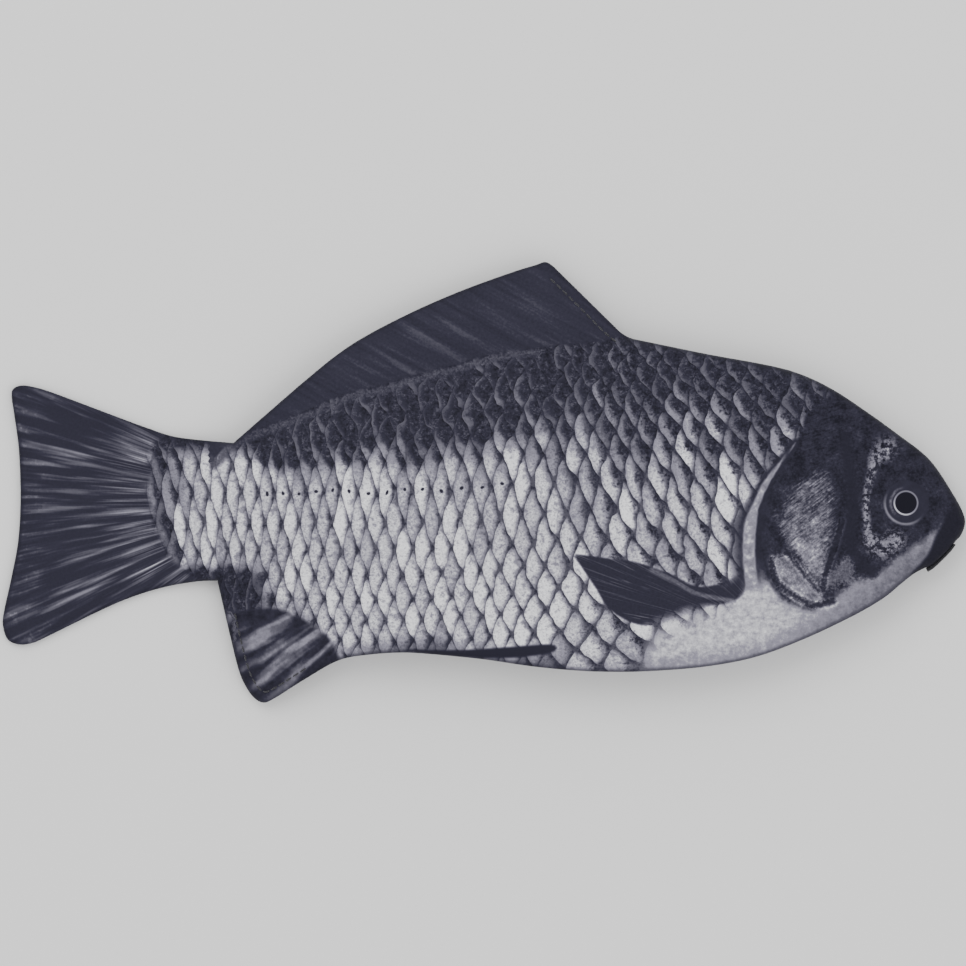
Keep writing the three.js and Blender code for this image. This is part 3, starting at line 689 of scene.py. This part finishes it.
def body_print(w, speckle, mottle, cloud):
    """Lightness of the scaled body: rounded light scales on the flank, dark ones with light rims on the back."""
    column, row, flank = w.attribute("lattice")
    spot_x, spot_y, _ = w.attribute("place")
    drift = w.noise(w.vector(spot_x, spot_y, 7.0), 0.13, 2.0) - 0.5
    drift_row = w.noise(w.vector(spot_x, spot_y, 31.0), 0.13, 2.0) - 0.5
    loose = 1.0 + w.step(flank, 0.45, 0.0)
    column += drift * 0.8 * loose
    row += drift_row * 0.5 * loose
    scale = w.group(SCALES, column=column, row=row, bow=0.95)
    behind, before, along, across, lot, second = scale
    side = w.math("ABSOLUTE", across)
    dome = w.length((along + 0.22) * (1 / 0.98), across)
    form = w.fall(dome, 0.35, 1.05)
    hollow = w.fall(before, 0.05, 0.75) * w.fall(side, 0.15, 0.75)
    line = w.fall(before, 0.0, 0.17)
    rough = mottle - 0.5
    fine = speckle - 0.5

    light = 0.74 + form * 0.17 + (lot - 0.5) * 0.2
    light -= w.step(dome, 0.66, 1.06) * 0.38
    light -= hollow * 0.26
    fore = w.step(spot_x, -10.0, 30.0)
    light -= line * (0.15 + fore * 0.13)
    light -= w.fall(before, 0.05, 0.42) * fore * 0.24
    light = w.math("MAXIMUM", light, 0.42)
    stain = mottle + fine * 0.7 + (across + along) * 0.05
    light -= w.step(stain, 0.5, 0.68) * 0.32
    light += fine * 0.8
    light += rough * 0.42

    smudge = behind + rough * 2.6 + fine * 3.4
    rim = w.fall(smudge, 0.0, 0.65) * w.step(rough + second * 0.8, 0.15, 0.85)
    rim *= 0.62 + flank * 1.5
    crinkle = w.noise(w.vector(spot_x * 0.8, spot_y), 0.62, 3.0, 0.62)
    crease = w.fall(w.math("ABSOLUTE", crinkle - 0.5), 0.0, 0.055)
    dark = 0.14 + rim * 0.34
    dark += crease * w.step(mottle, 0.42, 0.62) * 0.2
    dark += rough * 0.55
    dark -= line * 0.08
    dark += fine * 0.75

    cover = flank + (lot - 0.5) * 0.34 + (cloud - 0.5) * 0.5
    reach = cover * 2.6 - 0.15
    lead = behind - side * 0.3
    lead += across * 0.3
    lead += rough * 1.9
    lead += fine * 1.2
    lit = w.step(reach - lead, -0.4, 0.42)
    # on the shoulder each scale keeps a dark core instead
    shoulder = w.step(spot_x, 14.0, 46.0)
    core = w.length((along - 0.34) * (1 / 0.82), (across - 0.12) * (1 / 0.9))
    core = core + cover * 1.08 + (rough * 1.2 + fine * 1.0)
    lit = w.blend(shoulder, lit, w.step(core, 0.84, 1.66))
    light *= w.blend(shoulder, w.step(cover, 0.0, 0.9, 0.52, 1.0), w.step(cover, 0.1, 1.1, 0.56, 1.0))
    tone = w.blend(lit, dark, light)
    on_line = w.fall(w.math("ABSOLUTE", row - across), 0.4, 0.6)
    reach_x = w.step(spot_x, -72.0, -68.0) * w.fall(spot_x, 8.0, 12.0)
    pore = w.length((along + 0.1) * 3.0, across * 10.0)
    pore = w.fall(pore, 0.35, 0.75) * (on_line * reach_x)
    return w.blend(pore, tone, 0.12)


def print_material():
    """Cloth printed with a carp. The mesh's vectors say how far each point is from the drawn lines."""
    material, w, shader = new_material(
        "printed_cloth", Roughness=0.7, Sheen_Weight=0.02, Sheen_Roughness=0.5, Specular_IOR_Level=0.12)
    spot_x, spot_y, edge = w.attribute("place")
    place = w.vector(spot_x, spot_y)
    grain = w.group(GRAIN, place=place)
    speckle, mottle, cloud, weave = grain
    dorsal, tail, anal = w.attribute("fins")
    gill, pectoral, pelvic = w.attribute("head")
    crescent, ridge, ribs = w.attribute("marks")
    band, fleck, streak = w.attribute("masks")
    angle, reach, _ = w.attribute("rays")
    wobble = (mottle - 0.5) * 2.2
    tone = body_print(w, speckle, mottle, cloud)
    ridge = w.step(ridge + wobble, -0.4, 0.8) * w.fall(ridge + wobble, 1.4, 3.6)
    tone = w.blend(ridge * 0.8, tone, 0.36 + (speckle - 0.5) * 0.8)

    def streaks(count, gap):
        return w.group(STREAKS, angle=angle, reach=reach, count=count, gap=gap)

    # fins
    rays = streaks(32.0, 0.035)
    tail_tone = 0.17 + w.step(rays[0], 0.42, 0.76) * 0.47
    near_root = w.fall(tail, 4.0, 18.0)
    tail_tone += w.step(rays[1], 0.46, 0.7) * near_root * 0.32
    tail_end = w.fall(edge, 2.0, 14.0)
    tail_patch = w.step(mottle, 0.5, 0.7) * tail_end * w.step(rays[0], 0.42, 0.62)
    tail_tone += tail_patch * w.fall(spot_x, -141.0, -126.0) * 0.25
    tail_tone += (speckle - 0.5) * 0.14
    tone = w.blend(w.step(tail + wobble, -1.6, 1.2), tone, tail_tone)

    slant = streaks(8.0, 0.03)
    dorsal_tone = 0.2 + w.step(slant[0], 0.42, 0.8) * 0.16
    dorsal_tone += (slant[1] - 0.5) * 0.2
    dorsal_tone += (speckle - 0.5) * 0.26
    tone = w.blend(w.step(dorsal, -0.5, 0.7), tone, dorsal_tone)

    spread = streaks(11.0, 0.03)
    anal_tone = 0.13 + w.step(spread[0], 0.42, 0.66) * 0.52
    anal_tone += (mottle - 0.5) * 0.5
    anal_tone += (speckle - 0.5) * 0.16
    tone = w.blend(w.step(anal, -0.8, 1.0), tone, anal_tone)

    # paired fins
    leaf = streaks(40.0, 0.05)
    leaf_tone = 0.17 + w.step(leaf[0], 0.6, 0.72) * w.step(spot_x, 72.0, 60.0) * 0.3
    leaf_tone += w.fall(streak, 0.2, 1.1) * 0.28
    leaf_tone += w.step(leaf[1], 0.52, 0.66) * 0.16
    leaf_tone += (speckle - 0.5) * 0.2
    soft = w.step(spot_x, 46.0, 56.0) * w.step(spot_y + (spot_x - 60.0) * 0.12, -34.0, -39.0)
    soft = w.math("MAXIMUM", soft, w.step(spot_x, 70.0, 77.0) * 0.6)
    shade = w.step(pectoral + wobble * 0.4, soft * -1.6, 0.5 + soft * 3.4)
    tone = w.blend(w.blend(soft, w.step(pectoral, -0.5, 0.4), shade), tone, leaf_tone)
    tone = w.blend(w.step(pelvic, -0.7, 0.4), tone, 0.12)

    # head
    head_tone = head_print(w, place, spot_x, spot_y, speckle, mottle, ribs, band, fleck)
    low = w.step(spot_y, -36.0, -43.0)
    gill += wobble * (0.5 + low * 2.0)
    tone = w.blend(w.step(gill, -0.6 - low * 3.5, 0.8 + low * 3.5), tone, head_tone)
    crescent += (mottle - 0.5) * 1.2
    low_side = w.step(spot_y, 2.0, -16.0)
    shadow = w.fall(crescent, 0.5, 1.9 + low_side * 3.4) * w.step(spot_y, -35.0, -27.0)
    tone = w.blend(shadow * 0.82, tone, 0.14 + (mottle - 0.5) * 0.3)
    arch = w.fall(crescent, -0.4, 0.5) * w.step(spot_y, -35.5, -31.0)
    tone = w.blend(arch, tone, 0.72 + (mottle - 0.5) * 0.9)
    tone = eye_print(w, place, spot_x, spot_y, mottle, tone)

    # only the outer face is printed; near the cut edge, where the cloth turns under, the print is darkened as
    # painted shade
    tone = w.blend(w.step(edge, 0.3 * INNER_FACE, 0.5 * INNER_FACE), tone, 0.10)
    # painted shade: the print darkens within about 7 mm of the cut edge, strongest in the last 1.6 mm, where the
    # padded wall turns under
    tone *= w.step(edge, 0.0, 1.6, 0.55, 1.0) * w.step(edge, 0.8, 7.0, 0.86, 1.0)
    w.feed(shader.inputs["Base Color"], ink(w, tone))
    w.feed(shader.inputs["Roughness"], 0.52 + mottle * 0.2)
    w.bump(shader, weave + speckle * 1.5, 0.00004, 0.25)
    return material


def head_print(w, place, spot_x, spot_y, speckle, mottle, ribs, band, fleck):
    """Lightness of the head: a dark crown and snout, a mottled cheek, and light flecks before the eye."""
    cheek_depth, mouth, blotch = w.attribute("face")
    fine = w.noise(place, 1.1, 4.0, 0.75) - 0.5
    broad = w.noise(place, 0.22, 3.0, 0.6) - 0.5
    streaky = w.noise(w.vector((spot_x + spot_y * 0.3) * 0.35, (spot_y - spot_x * 0.3) * 1.6), 1.0, 3.0, 0.6) - 0.5
    tone = 0.13 + fine * 0.62
    tone += broad * 0.62
    tone += streaky * w.step(spot_y, 0.0, 14.0) * 0.38
    # hair-fine lines that run up across the cheek
    across = spot_y * 0.8 - spot_x * 0.6
    along = spot_y * 0.6 + spot_x * 0.8
    hair = w.noise(w.vector(across * 1.9, along * 0.22), 1.0, 3.0, 0.65)
    lower = w.step(spot_y, -5.0, -24.0)
    cheek = 0.43 + lower * 0.19 + (hair - 0.5) * w.step(spot_y, -34.0, -6.0) * 1.3
    cheek += fine * 1.1 + broad * 0.9
    edge = cheek_depth + (fine * 2.0 + (hair - 0.5) * w.blend(lower, 9.0, 2.0))
    tone = w.blend(w.step(edge, w.blend(lower, -1.6, -0.9), w.blend(lower, 4.6, 1.2)) * 0.95, tone, cheek)
    blotches = w.fall(blotch + fine * -6.0, 0.5, 3.6) * 0.8
    tone = w.blend(blotches, tone, 0.52 + fine * 0.9)
    _, _, throat = w.attribute("rays")
    pale = w.step(spot_x, 84.0, 132.0, 0.84, 0.6) + (mottle - 0.5) * 0.45
    pale -= w.step(spot_x, 138.0, 145.0) * 0.14
    pale += fine * 0.25
    tone = w.blend(w.step(throat + broad * 3.0, -1.0, 1.9), tone, pale)
    fleck_light = w.fall(fleck, 0.3, 2.0) * w.step(fine * 0.7 + mottle * 1.2, 0.5, 0.68)
    tone += fleck_light * 0.54
    tone = w.blend(w.fall(band + fine * 3.0, 0.8, 2.8) * 0.8, tone, 0.09)
    beside = ribs + fine * 2.0
    tone += w.step(beside, 0.9, 1.3) * w.fall(beside, 1.4, 2.0) * 0.14
    tone = w.blend(w.fall(ribs + fine * 1.5, 0.2, 1.1) * 0.75, tone, 0.1)
    tone = w.blend(w.fall(mouth, 1.9, 3.4), tone, 0.06 + fine * 0.1)
    return tone + (speckle - 0.5) * 0.16


def eye_print(w, place, spot_x, spot_y, mottle, tone):
    """A dark pupil in a thin light ring, and part of a second ring round the socket."""
    centre = w.vector(EYE[0], EYE[1])
    away = w.node("ShaderNodeVectorMath", operation="DISTANCE")
    w.feed(away.inputs[0], place)
    w.feed(away.inputs[1], centre)
    radius = away.outputs["Value"]
    turn = w.math("ARCTAN2", spot_y - EYE[1], spot_x - EYE[0])
    lower = w.step(w.math("COSINE", turn + 2.2), -0.2, 0.9)
    socket = w.step(radius, 5.9, 6.5) * w.fall(radius, 6.6, 7.4)
    tone = w.blend(w.fall(radius, 6.6, 7.6), tone, 0.17 + (mottle - 0.5) * 0.2)
    tone += socket * lower * 0.45
    left = w.step(w.math("COSINE", turn + 3.3), 0.1, 0.95)
    gleam = w.step(radius, 4.1, 4.7) * w.fall(radius, 4.9, 5.6)
    tone += gleam * left * (0.26 + (mottle - 0.5) * 1.4)
    ring = w.step(radius, 3.25, 3.5) * w.fall(radius, 3.75, 4.1)
    tone = w.blend(ring, tone, 0.6 + lower * 0.25)
    return w.blend(w.fall(radius, 3.15, 3.45), tone, 0.0)


def thread_material(name, shade):
    """Twisted sewing thread: fine diagonal plies along each stitch, with a painted highlight along each ply's
    crest.
    """
    material, w, shader = new_material(name, Roughness=0.7, Sheen_Weight=0.3)
    coordinates = w.on_piece()
    plies = w.node("ShaderNodeTexWave", wave_type="BANDS", bands_direction="DIAGONAL")
    w.feed(plies.inputs["Vector"], coordinates)
    plies.inputs["Scale"].default_value = 900.0
    plies.inputs["Distortion"].default_value = 1.5
    # painted highlight: the plies' raised bands are coloured up to 2.2 times lighter, following the bump
    light = tuple(min(1.0, v * 2.2) for v in colour(*shade)[:3]) + (1.0,)
    w.feed(shader.inputs["Base Color"], w.blend_colour(plies.outputs["Fac"], colour(*shade), light))
    w.bump(shader, plies.outputs["Fac"], 0.00008)
    return material


def woven_material(name, shade, light, pitch, roughness):
    """A plain woven cloth in one yarn colour, with its weave in height, and in colour as painted light on the
    crossings and painted shade between them, over the yarn's own uneven tone. pitch is in metres.
    """
    material, w, shader = new_material(name, Roughness=roughness, Sheen_Weight=0.25, Sheen_Roughness=0.4)
    coordinates = w.on_piece()
    x, y, z = w.parts(coordinates)
    weave = w.math("MULTIPLY_ADD", w.weave(x, y + z, pitch), 0.5, 0.5)
    cloud = w.noise(coordinates, 90.0, 4.0, 0.6)
    fibre = w.noise(coordinates, 2500.0, 2.0, 0.6)
    # painted light and shade: lighter on the weave's raised crossings, darker between them; the fibre and cloud
    # noise is the yarn's own uneven tone
    share = (weave * 0.6 + fibre * 0.6) * (0.5 + cloud * 0.8)
    w.feed(shader.inputs["Base Color"], w.blend_colour(share, colour(*shade), colour(*light)))
    w.bump(shader, weave + fibre * 0.4, pitch * 0.2, 0.5)
    return material


def foam_material():
    """Dark foam with small cells, each darker towards its sunken middle as painted shade."""
    material, w, shader = new_material("foam", Roughness=0.95)
    coordinates = w.on_piece()
    cells = w.node("ShaderNodeTexVoronoi", feature="F1")
    w.feed(cells.inputs["Vector"], coordinates)
    cells.inputs["Scale"].default_value = 1600.0
    # painted shade: the colour darkens towards each cell's pit, following the bump's height
    w.feed(shader.inputs["Base Color"],
           w.blend_colour(cells.outputs["Distance"], colour(30, 30, 34), colour(58, 58, 63)))
    w.bump(shader, cells.outputs["Distance"], 0.0002)
    return material


def metal_material():
    """Bright nickel plate, dulled and scratched by use."""
    material, w, shader = new_material("nickel", Metallic=1.0, Roughness=0.25)
    coordinates = w.on_piece()
    wear = w.noise(coordinates, 700.0, 5.0, 0.7)
    scratches = w.noise(coordinates, 4000.0, 2.0, 0.5)
    w.feed(shader.inputs["Base Color"], w.blend_colour(wear, colour(112, 113, 118), colour(182, 183, 187)))
    w.feed(shader.inputs["Roughness"], 0.14 + wear * 0.3)
    w.bump(shader, scratches, 0.00005, 0.2)
    return material


def nylon_material():
    """Dark satin nylon, a little dusty in patches."""
    material, w, shader = new_material("nylon", Roughness=0.38)
    coordinates = w.on_piece()
    dust = w.noise(coordinates, 500.0, 4.0, 0.6)
    w.feed(shader.inputs["Base Color"], w.blend_colour(dust, colour(18, 18, 21), colour(48, 48, 54)))
    w.feed(shader.inputs["Roughness"], 0.28 + dust * 0.25)
    return material


PRINT = print_material()
LINING_CLOTH = woven_material("lining_cloth", (16, 16, 19), (52, 52, 58), 0.0005, 0.75)
TAPE_CLOTH = woven_material("zip_tape_cloth", (12, 12, 14), (44, 44, 50), 0.0006, 0.85)
FOAM_CELLS, NICKEL, NYLON = foam_material(), metal_material(), nylon_material()
THREAD = thread_material("sewing_thread", (26, 25, 32))

# ---- The walls ----
STITCH_WAYS = {
    "dorsal_fin": [(20.6, 63.6), (24, 60.4), (31, 53.4), (37.6, 46.8), (41.4, 43.6)],
    "anal_fin": [(-77.6, -40.5), (-75.6, -49.5), (-73.4, -57.8), (-71.2, -62.6), (-68.6, -65.2), (-65, -64),
                 (-55.2, -57.8)]}
CLOTH_PLAN, CLOTH_FACES = plan_mesh(CLOTH_OUTLINE, 1.1)
LINING_OUTLINE = lining_outline()
LINING_PLAN, LINING_FACES = plan_mesh(LINING_OUTLINE, 3.0)
FOLD = JOINTS["flap_fold"]
FOLD_AT = np.array(FOLD["pos_m"]) / MM
FOLD_WAY = -np.array(FOLD["axis"])[:2]
FOLD_OUT = np.array([FOLD_WAY[1], -FOLD_WAY[0]])
FOLD_WIDTH = 17.0


def bend_with_flap(obj):
    """The piece turns up smoothly from the fold to the belly's lip."""
    start = Vector((FOLD_AT[0], FOLD_AT[1], FOLD_AT[2])) * MM
    end = start + Vector((FOLD_OUT[0], FOLD_OUT[1], 0)) * FOLD_WIDTH * MM
    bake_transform(obj, "shell", "belly_flap", start=start, end=end)
    # behind the flap, the anal fin stays with the body
    weights = obj.data.attributes["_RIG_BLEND"].data
    for vertex, weight in zip(obj.data.vertices, weights):
        weight.value *= float(smooth((vertex.co.x / MM + 46) / 12))


def carry(piece, side):
    """An upper piece bends with the belly flap, and a lower one stays with the shell."""
    if side > 0:
        bend_with_flap(piece)
    else:
        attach(piece, "shell")


def soft_relief(x, y, distance):
    """The stitching draws the cloth in, the field is slightly uneven, and it puckers near the edges."""
    points = np.c_[x, y]
    drawn_in = np.zeros(len(x))
    for way in STITCH_WAYS.values():
        away, _, _ = line_distance(points, spline(way, 0.6))
        drawn_in = np.maximum(drawn_in, np.exp(-(away / 0.9) ** 2))
    waves = (np.sin(x * 0.093 + y * 0.041 + 1.3) * np.sin(y * 0.117 - x * 0.031 + 0.4)
             + 0.6 * np.sin(x * 0.211 - y * 0.173 + 2.1) * np.sin(x * 0.067 + y * 0.239))
    pucker = np.sin(x * 0.9 + y * 0.35) * np.exp(-((distance - 4.0) / 3.5) ** 2)
    flat = smooth((distance - 2.0) / 6.0)
    return 0.22 * waves * flat + 0.07 * pucker - 0.28 * drawn_in


def printed_wall(name, side, nodes):
    plan, faces = CLOTH_PLAN, CLOTH_FACES
    obj, points, edge = cloth_layer(name, plan, faces, CLOTH_OUTLINE, side, 0.0, CLOTH, relief=soft_relief)
    for key, values in print_fields(plan).items():
        set_vectors(obj, key, np.vstack([values, values]))
    edge[len(plan):] = INNER_FACE
    set_vectors(obj, "place", np.c_[points, edge])
    set_uv(obj, points)
    obj.data.materials.append(PRINT)
    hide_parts(*nodes)
    return obj


def inner_layer(name, side, top, thick, material, nodes):
    obj, points, _ = cloth_layer(name, LINING_PLAN, LINING_FACES, LINING_OUTLINE, side, top, top + thick, False)
    set_uv(obj, points)
    obj.data.materials.append(material)
    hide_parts(*nodes)
    return obj


for side_name, side in (("upper", 1), ("lower", -1)):
    outer_nodes = {1: ["upper_wall_{}", "belly_flap_{}"], -1: ["lower_wall_{}"]}[side]
    wall = printed_wall(side_name + "_printed_wall", side, [n.format("cloth") for n in outer_nodes])
    foam = inner_layer(side_name + "_foam_sheet", side, CLOTH + GAP, FOAM, FOAM_CELLS,
                       [n.format("foam") for n in outer_nodes])
    lining = inner_layer(side_name + "_lining_sheet", side, CLOTH + FOAM + 2 * GAP, LINING, LINING_CLOTH,
                         [n.format("lining") for n in outer_nodes])
    for piece in (wall, foam, lining):
        carry(piece, side)


# ---- Small pieces swept along a way ----
def swept_mesh(rings):
    """A closed tube through rings of points, in millimetres."""
    rings = np.asarray(rings, float)
    count, sides = rings.shape[:2]
    faces = [[i * sides + k, i * sides + (k + 1) % sides, (i + 1) * sides + (k + 1) % sides, (i + 1) * sides + k]
             for i in range(count - 1) for k in range(sides)]
    faces += [list(range(sides))[::-1], [(count - 1) * sides + k for k in range(sides)]]
    return rings.reshape(-1, 3), faces


def piece_from(name, parts, material, smooth_angle=40):
    """One piece from several swept meshes, with its faces turned outwards."""
    coords, faces = [], []
    for points, polygons in parts:
        faces += [[i + len(coords) for i in f] for f in polygons]
        coords += (np.asarray(points) * MM).tolist()
    mesh = bpy.data.meshes.new(name)
    mesh.from_pydata(coords, [], faces)
    editor = bmesh.new()
    editor.from_mesh(mesh)
    bmesh.ops.recalc_face_normals(editor, faces=editor.faces)
    editor.to_mesh(mesh)
    editor.free()
    obj = bpy.data.objects.new(name, mesh)
    bpy.context.collection.objects.link(obj)
    bpy.ops.object.select_all(action="DESELECT")
    obj.select_set(True)
    bpy.context.view_layer.objects.active = obj
    bpy.ops.object.shade_smooth_by_angle(angle=math.radians(smooth_angle))
    mesh.materials.append(material)
    return obj


def tube_rings(path, radius, sides):
    """Rings round a path. radius may be one number for each point."""
    path = np.asarray(path, float)
    radius = np.broadcast_to(radius, len(path))
    rings, across = [], None
    for i, p in enumerate(path):
        way = path[min(i + 1, len(path) - 1)] - path[max(i - 1, 0)]
        way /= np.linalg.norm(way)
        if across is None:
            across = np.cross(way, (0, 0, 1) if abs(way[2]) < 0.9 else (1, 0, 0))
        across -= way * (across @ way)
        across /= np.linalg.norm(across)
        up = np.cross(way, across)
        turns = 2 * math.pi * np.arange(sides) / sides
        rings.append(p + radius[i] * (np.outer(np.cos(turns), across) + np.outer(np.sin(turns), up)))
    return rings


def at_arc(angle, radius):
    return ARC_CENTRE[0] + radius * math.cos(angle), ARC_CENTRE[1] + radius * math.sin(angle)


def arc_angle(x):
    """The zip arc's angle at a place along the pouch."""
    return -math.acos((x - ARC_CENTRE[0]) / ARC_RADIUS)


def coil_half(side):
    """Half of the chain: a monofilament wound round a cord, every turn pressed flat."""
    box = np.array(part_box(("upper" if side > 0 else "lower") + "_zip_coil")) / MM
    level = float(box[:, 2].mean())
    start, end = arc_angle(box[0][0] + 0.3), arc_angle(box[1][0] - 0.4)
    turns = int(abs(end - start) * ARC_RADIUS / COIL_PITCH)
    path = []
    for i in range(turns * 12 + 1):
        angle = start + (end - start) * i / (turns * 12)
        wind = 2 * math.pi * i / 12
        x, y = at_arc(angle, ARC_RADIUS + (COIL_HALF_WIDTH - COIL_WIRE) * math.cos(wind))
        path.append((x, y, level + side * (COIL_HALF_HEIGHT - COIL_WIRE) * math.sin(wind)))
    cord = [(*at_arc(start + (end - start) * i / 90, ARC_RADIUS), level) for i in range(91)]
    return piece_from(("upper" if side > 0 else "lower") + "_coil_winding",
                      [swept_mesh(tube_rings(path, COIL_WIRE, 6)), swept_mesh(tube_rings(cord, 0.30, 6))], NYLON)


def tape_half(side):
    """The zip's tape: a woven ribbon that stands from the coil to the wall's lip, ribbed near the coil."""
    box = np.array(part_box(("upper" if side > 0 else "lower") + "_zip_tape")) / MM
    start, end = arc_angle(box[0][0] + 0.25), arc_angle(box[1][0] - 0.25)
    rings = []
    steps, across = 150, 9
    for i in range(steps + 1):
        angle = start + (end - start) * i / steps
        x, y = at_arc(angle, ARC_RADIUS)
        foot = float(middle(x, y)) + side * 2.9
        lip = float(middle(x, y) + side * (half(x, y) - CLOTH - 0.62))
        ring = []
        for face in (1, -1):
            for k in (range(across + 1) if face > 0 else range(across, -1, -1)):
                t = k / across
                thick = TAPE_HALF - TAPE_RIB * (k % 2)
                px, py = at_arc(angle, ARC_RADIUS + face * thick)
                ring.append((px, py, foot + (lip - foot) * t))
        rings.append(ring)
    return piece_from(("upper" if side > 0 else "lower") + "_tape_ribbon", [swept_mesh(rings)], TAPE_CLOTH, 60)


for side_name, side in (("upper", 1), ("lower", -1)):
    winding, ribbon = coil_half(side), tape_half(side)
    for piece, node, slot in ((winding, "_zip_coil", "zip_coil"), (ribbon, "_zip_tape", "zip_tape")):
        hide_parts(side_name + node)
        carry(piece, side)


def stitch_row(name, way, side):
    """Topstitching: separate stitches of twisted thread that dip into the cloth at both ends."""
    line = spline(way, 0.1)
    run = np.r_[0, np.cumsum(np.linalg.norm(np.diff(line, axis=0), axis=1))]
    pitch = run[-1] / round(run[-1] / 2.6)
    parts = []
    for n in range(int(round(run[-1] / pitch))):
        path, radii = [], []
        for t in np.linspace(0, 1, 11):
            at = n * pitch + 0.25 + (pitch - 0.55) * t
            x, y = (float(np.interp(at, run, line[:, k])) for k in (0, 1))
            crown = math.sin(math.pi * t) ** 0.45 if 0 < t < 1 else 0.0
            path.append((x, y, float(outer_face(x, y, side)) + side * (-0.42 + 0.38 * crown)))
            radii.append(0.13 + 0.13 * crown)
        parts.append(swept_mesh(tube_rings(path, np.array(radii), 8)))
    return piece_from(name, parts, THREAD, 70)


for fin, way in STITCH_WAYS.items():
    for node, side in (("_needle_thread", 1), ("_bobbin_thread", -1)):
        row = stitch_row(fin + "_stitches" + ("_upper" if side > 0 else "_lower"), way, side)
        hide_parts(fin + node)
        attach(row, "shell")

# The zip's fold of dark cloth that shows past the mouth.
FOLD_INNER = [(137.75, -26.75), (139.4, -26.1), (142.3, -23.6), (145.0, -21.0), (146.8, -19.1)]
WEB_HALF = 0.09  # half the thickness of the tape that joins the fold to the seam
FOLD_OUTER = [(138.4, -27.9), (140.2, -26.8), (143, -24.2), (145.5, -21.6), (147.1, -19.5)]
fold_box = np.array(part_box("mouth_zip_fold")) / MM
inner, outer = spline(FOLD_INNER, 0.5), spline(FOLD_OUTER, 0.5)
steps = 40


def across_fold(i):
    """The fold's inner and outer edge at one of its steps."""
    return inner[round(i / steps * (len(inner) - 1))], outer[round(i / steps * (len(outer) - 1))]


rings = []
for i in range(steps + 1):
    a, b = across_fold(i)
    to_end = min(i, steps - i)
    shrink = 0.55 + 0.45 * math.sin(math.pi * to_end / steps * 4) if to_end < steps / 8 else 1.0
    centre, reach = (a + b) / 2, (b - a) / 2
    level, tall = fold_box[:, 2].mean(), (fold_box[1][2] - fold_box[0][2]) / 2
    rings.append([(*(centre + reach * math.copysign(abs(math.cos(t)) ** 0.6, math.cos(t))),
                   level + shrink * tall * math.copysign(abs(math.sin(t)) ** 0.6, math.sin(t)))
                  for t in 2 * math.pi * np.arange(20) / 20])
web = []
for i in range(1, steps):
    a, b = across_fold(i)
    way = (a - b) / np.linalg.norm(a - b)
    root, tip = a + way * 1.3, (a + b) / 2
    corners = ((root, -WEB_HALF), (tip, -WEB_HALF), (tip, WEB_HALF), (root, WEB_HALF))
    web.append([(*p, float(middle(*p)) + lift) for p, lift in corners])
fold = piece_from("mouth_fold_cloth", [swept_mesh(rings), swept_mesh(web)], TAPE_CLOTH, 70)
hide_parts("mouth_zip_fold")
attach(fold, "shell")

# ---- Materials of the pieces kept from the frame ----
FINISHES = {"zip_tape": TAPE_CLOTH, "zip_coil": NYLON, "zip_metal": NICKEL}
for row in frame["record"]["subparts"]:
    finish = FINISHES.get(row["material_slot"])
    kept = frame["nodes"][row["node"]]
    if finish is not None:
        for slot in kept.material_slots:
            slot.material = finish

# ---- Studio ----
bpy.ops.object.select_all(action="DESELECT")
bpy.ops.mesh.primitive_plane_add(size=6, location=(0, 0, -0.0002))
floor = bpy.context.object
floor.name = "floor"
floor_material, _, floor_shader = new_material("floor_white", Roughness=0.9)
floor_shader.inputs["Base Color"].default_value = (0.92, 0.92, 0.92, 1)
floor.data.materials.append(floor_material)

world = bpy.data.worlds.new("studio")
bpy.context.scene.world = world
world.use_nodes = True
world.node_tree.nodes["Background"].inputs[0].default_value = (1, 1, 1, 1)
world.node_tree.nodes["Background"].inputs[1].default_value = 1.0


def area_light(name, place, target, size, power):
    light = bpy.data.lights.new(name, "AREA")
    light.energy = power
    light.size = size
    obj = bpy.data.objects.new(name, light)
    bpy.context.collection.objects.link(obj)
    obj.location = place
    obj.rotation_euler = (Vector(target) - Vector(place)).to_track_quat("-Z", "Y").to_euler()


area_light("key_light", (-0.5, 0.9, 1.5), (0, 0, 0), 1.2, 11)
area_light("fill_light", (0.9, -0.6, 1.3), (0, 0, 0), 1.4, 5)

camera = bpy.data.objects.new("camera", bpy.data.cameras.new("camera"))
bpy.context.collection.objects.link(camera)
CAMERA_HEIGHT, VIEW_WIDTH, SENSOR = 6.0, 0.3009, 36
camera.location = (-0.0002, -0.0002, CAMERA_HEIGHT)
camera.data.sensor_width = SENSOR
camera.data.lens = SENSOR * (CAMERA_HEIGHT - SEAM_HEIGHT * MM) / VIEW_WIDTH
bpy.context.scene.camera = camera
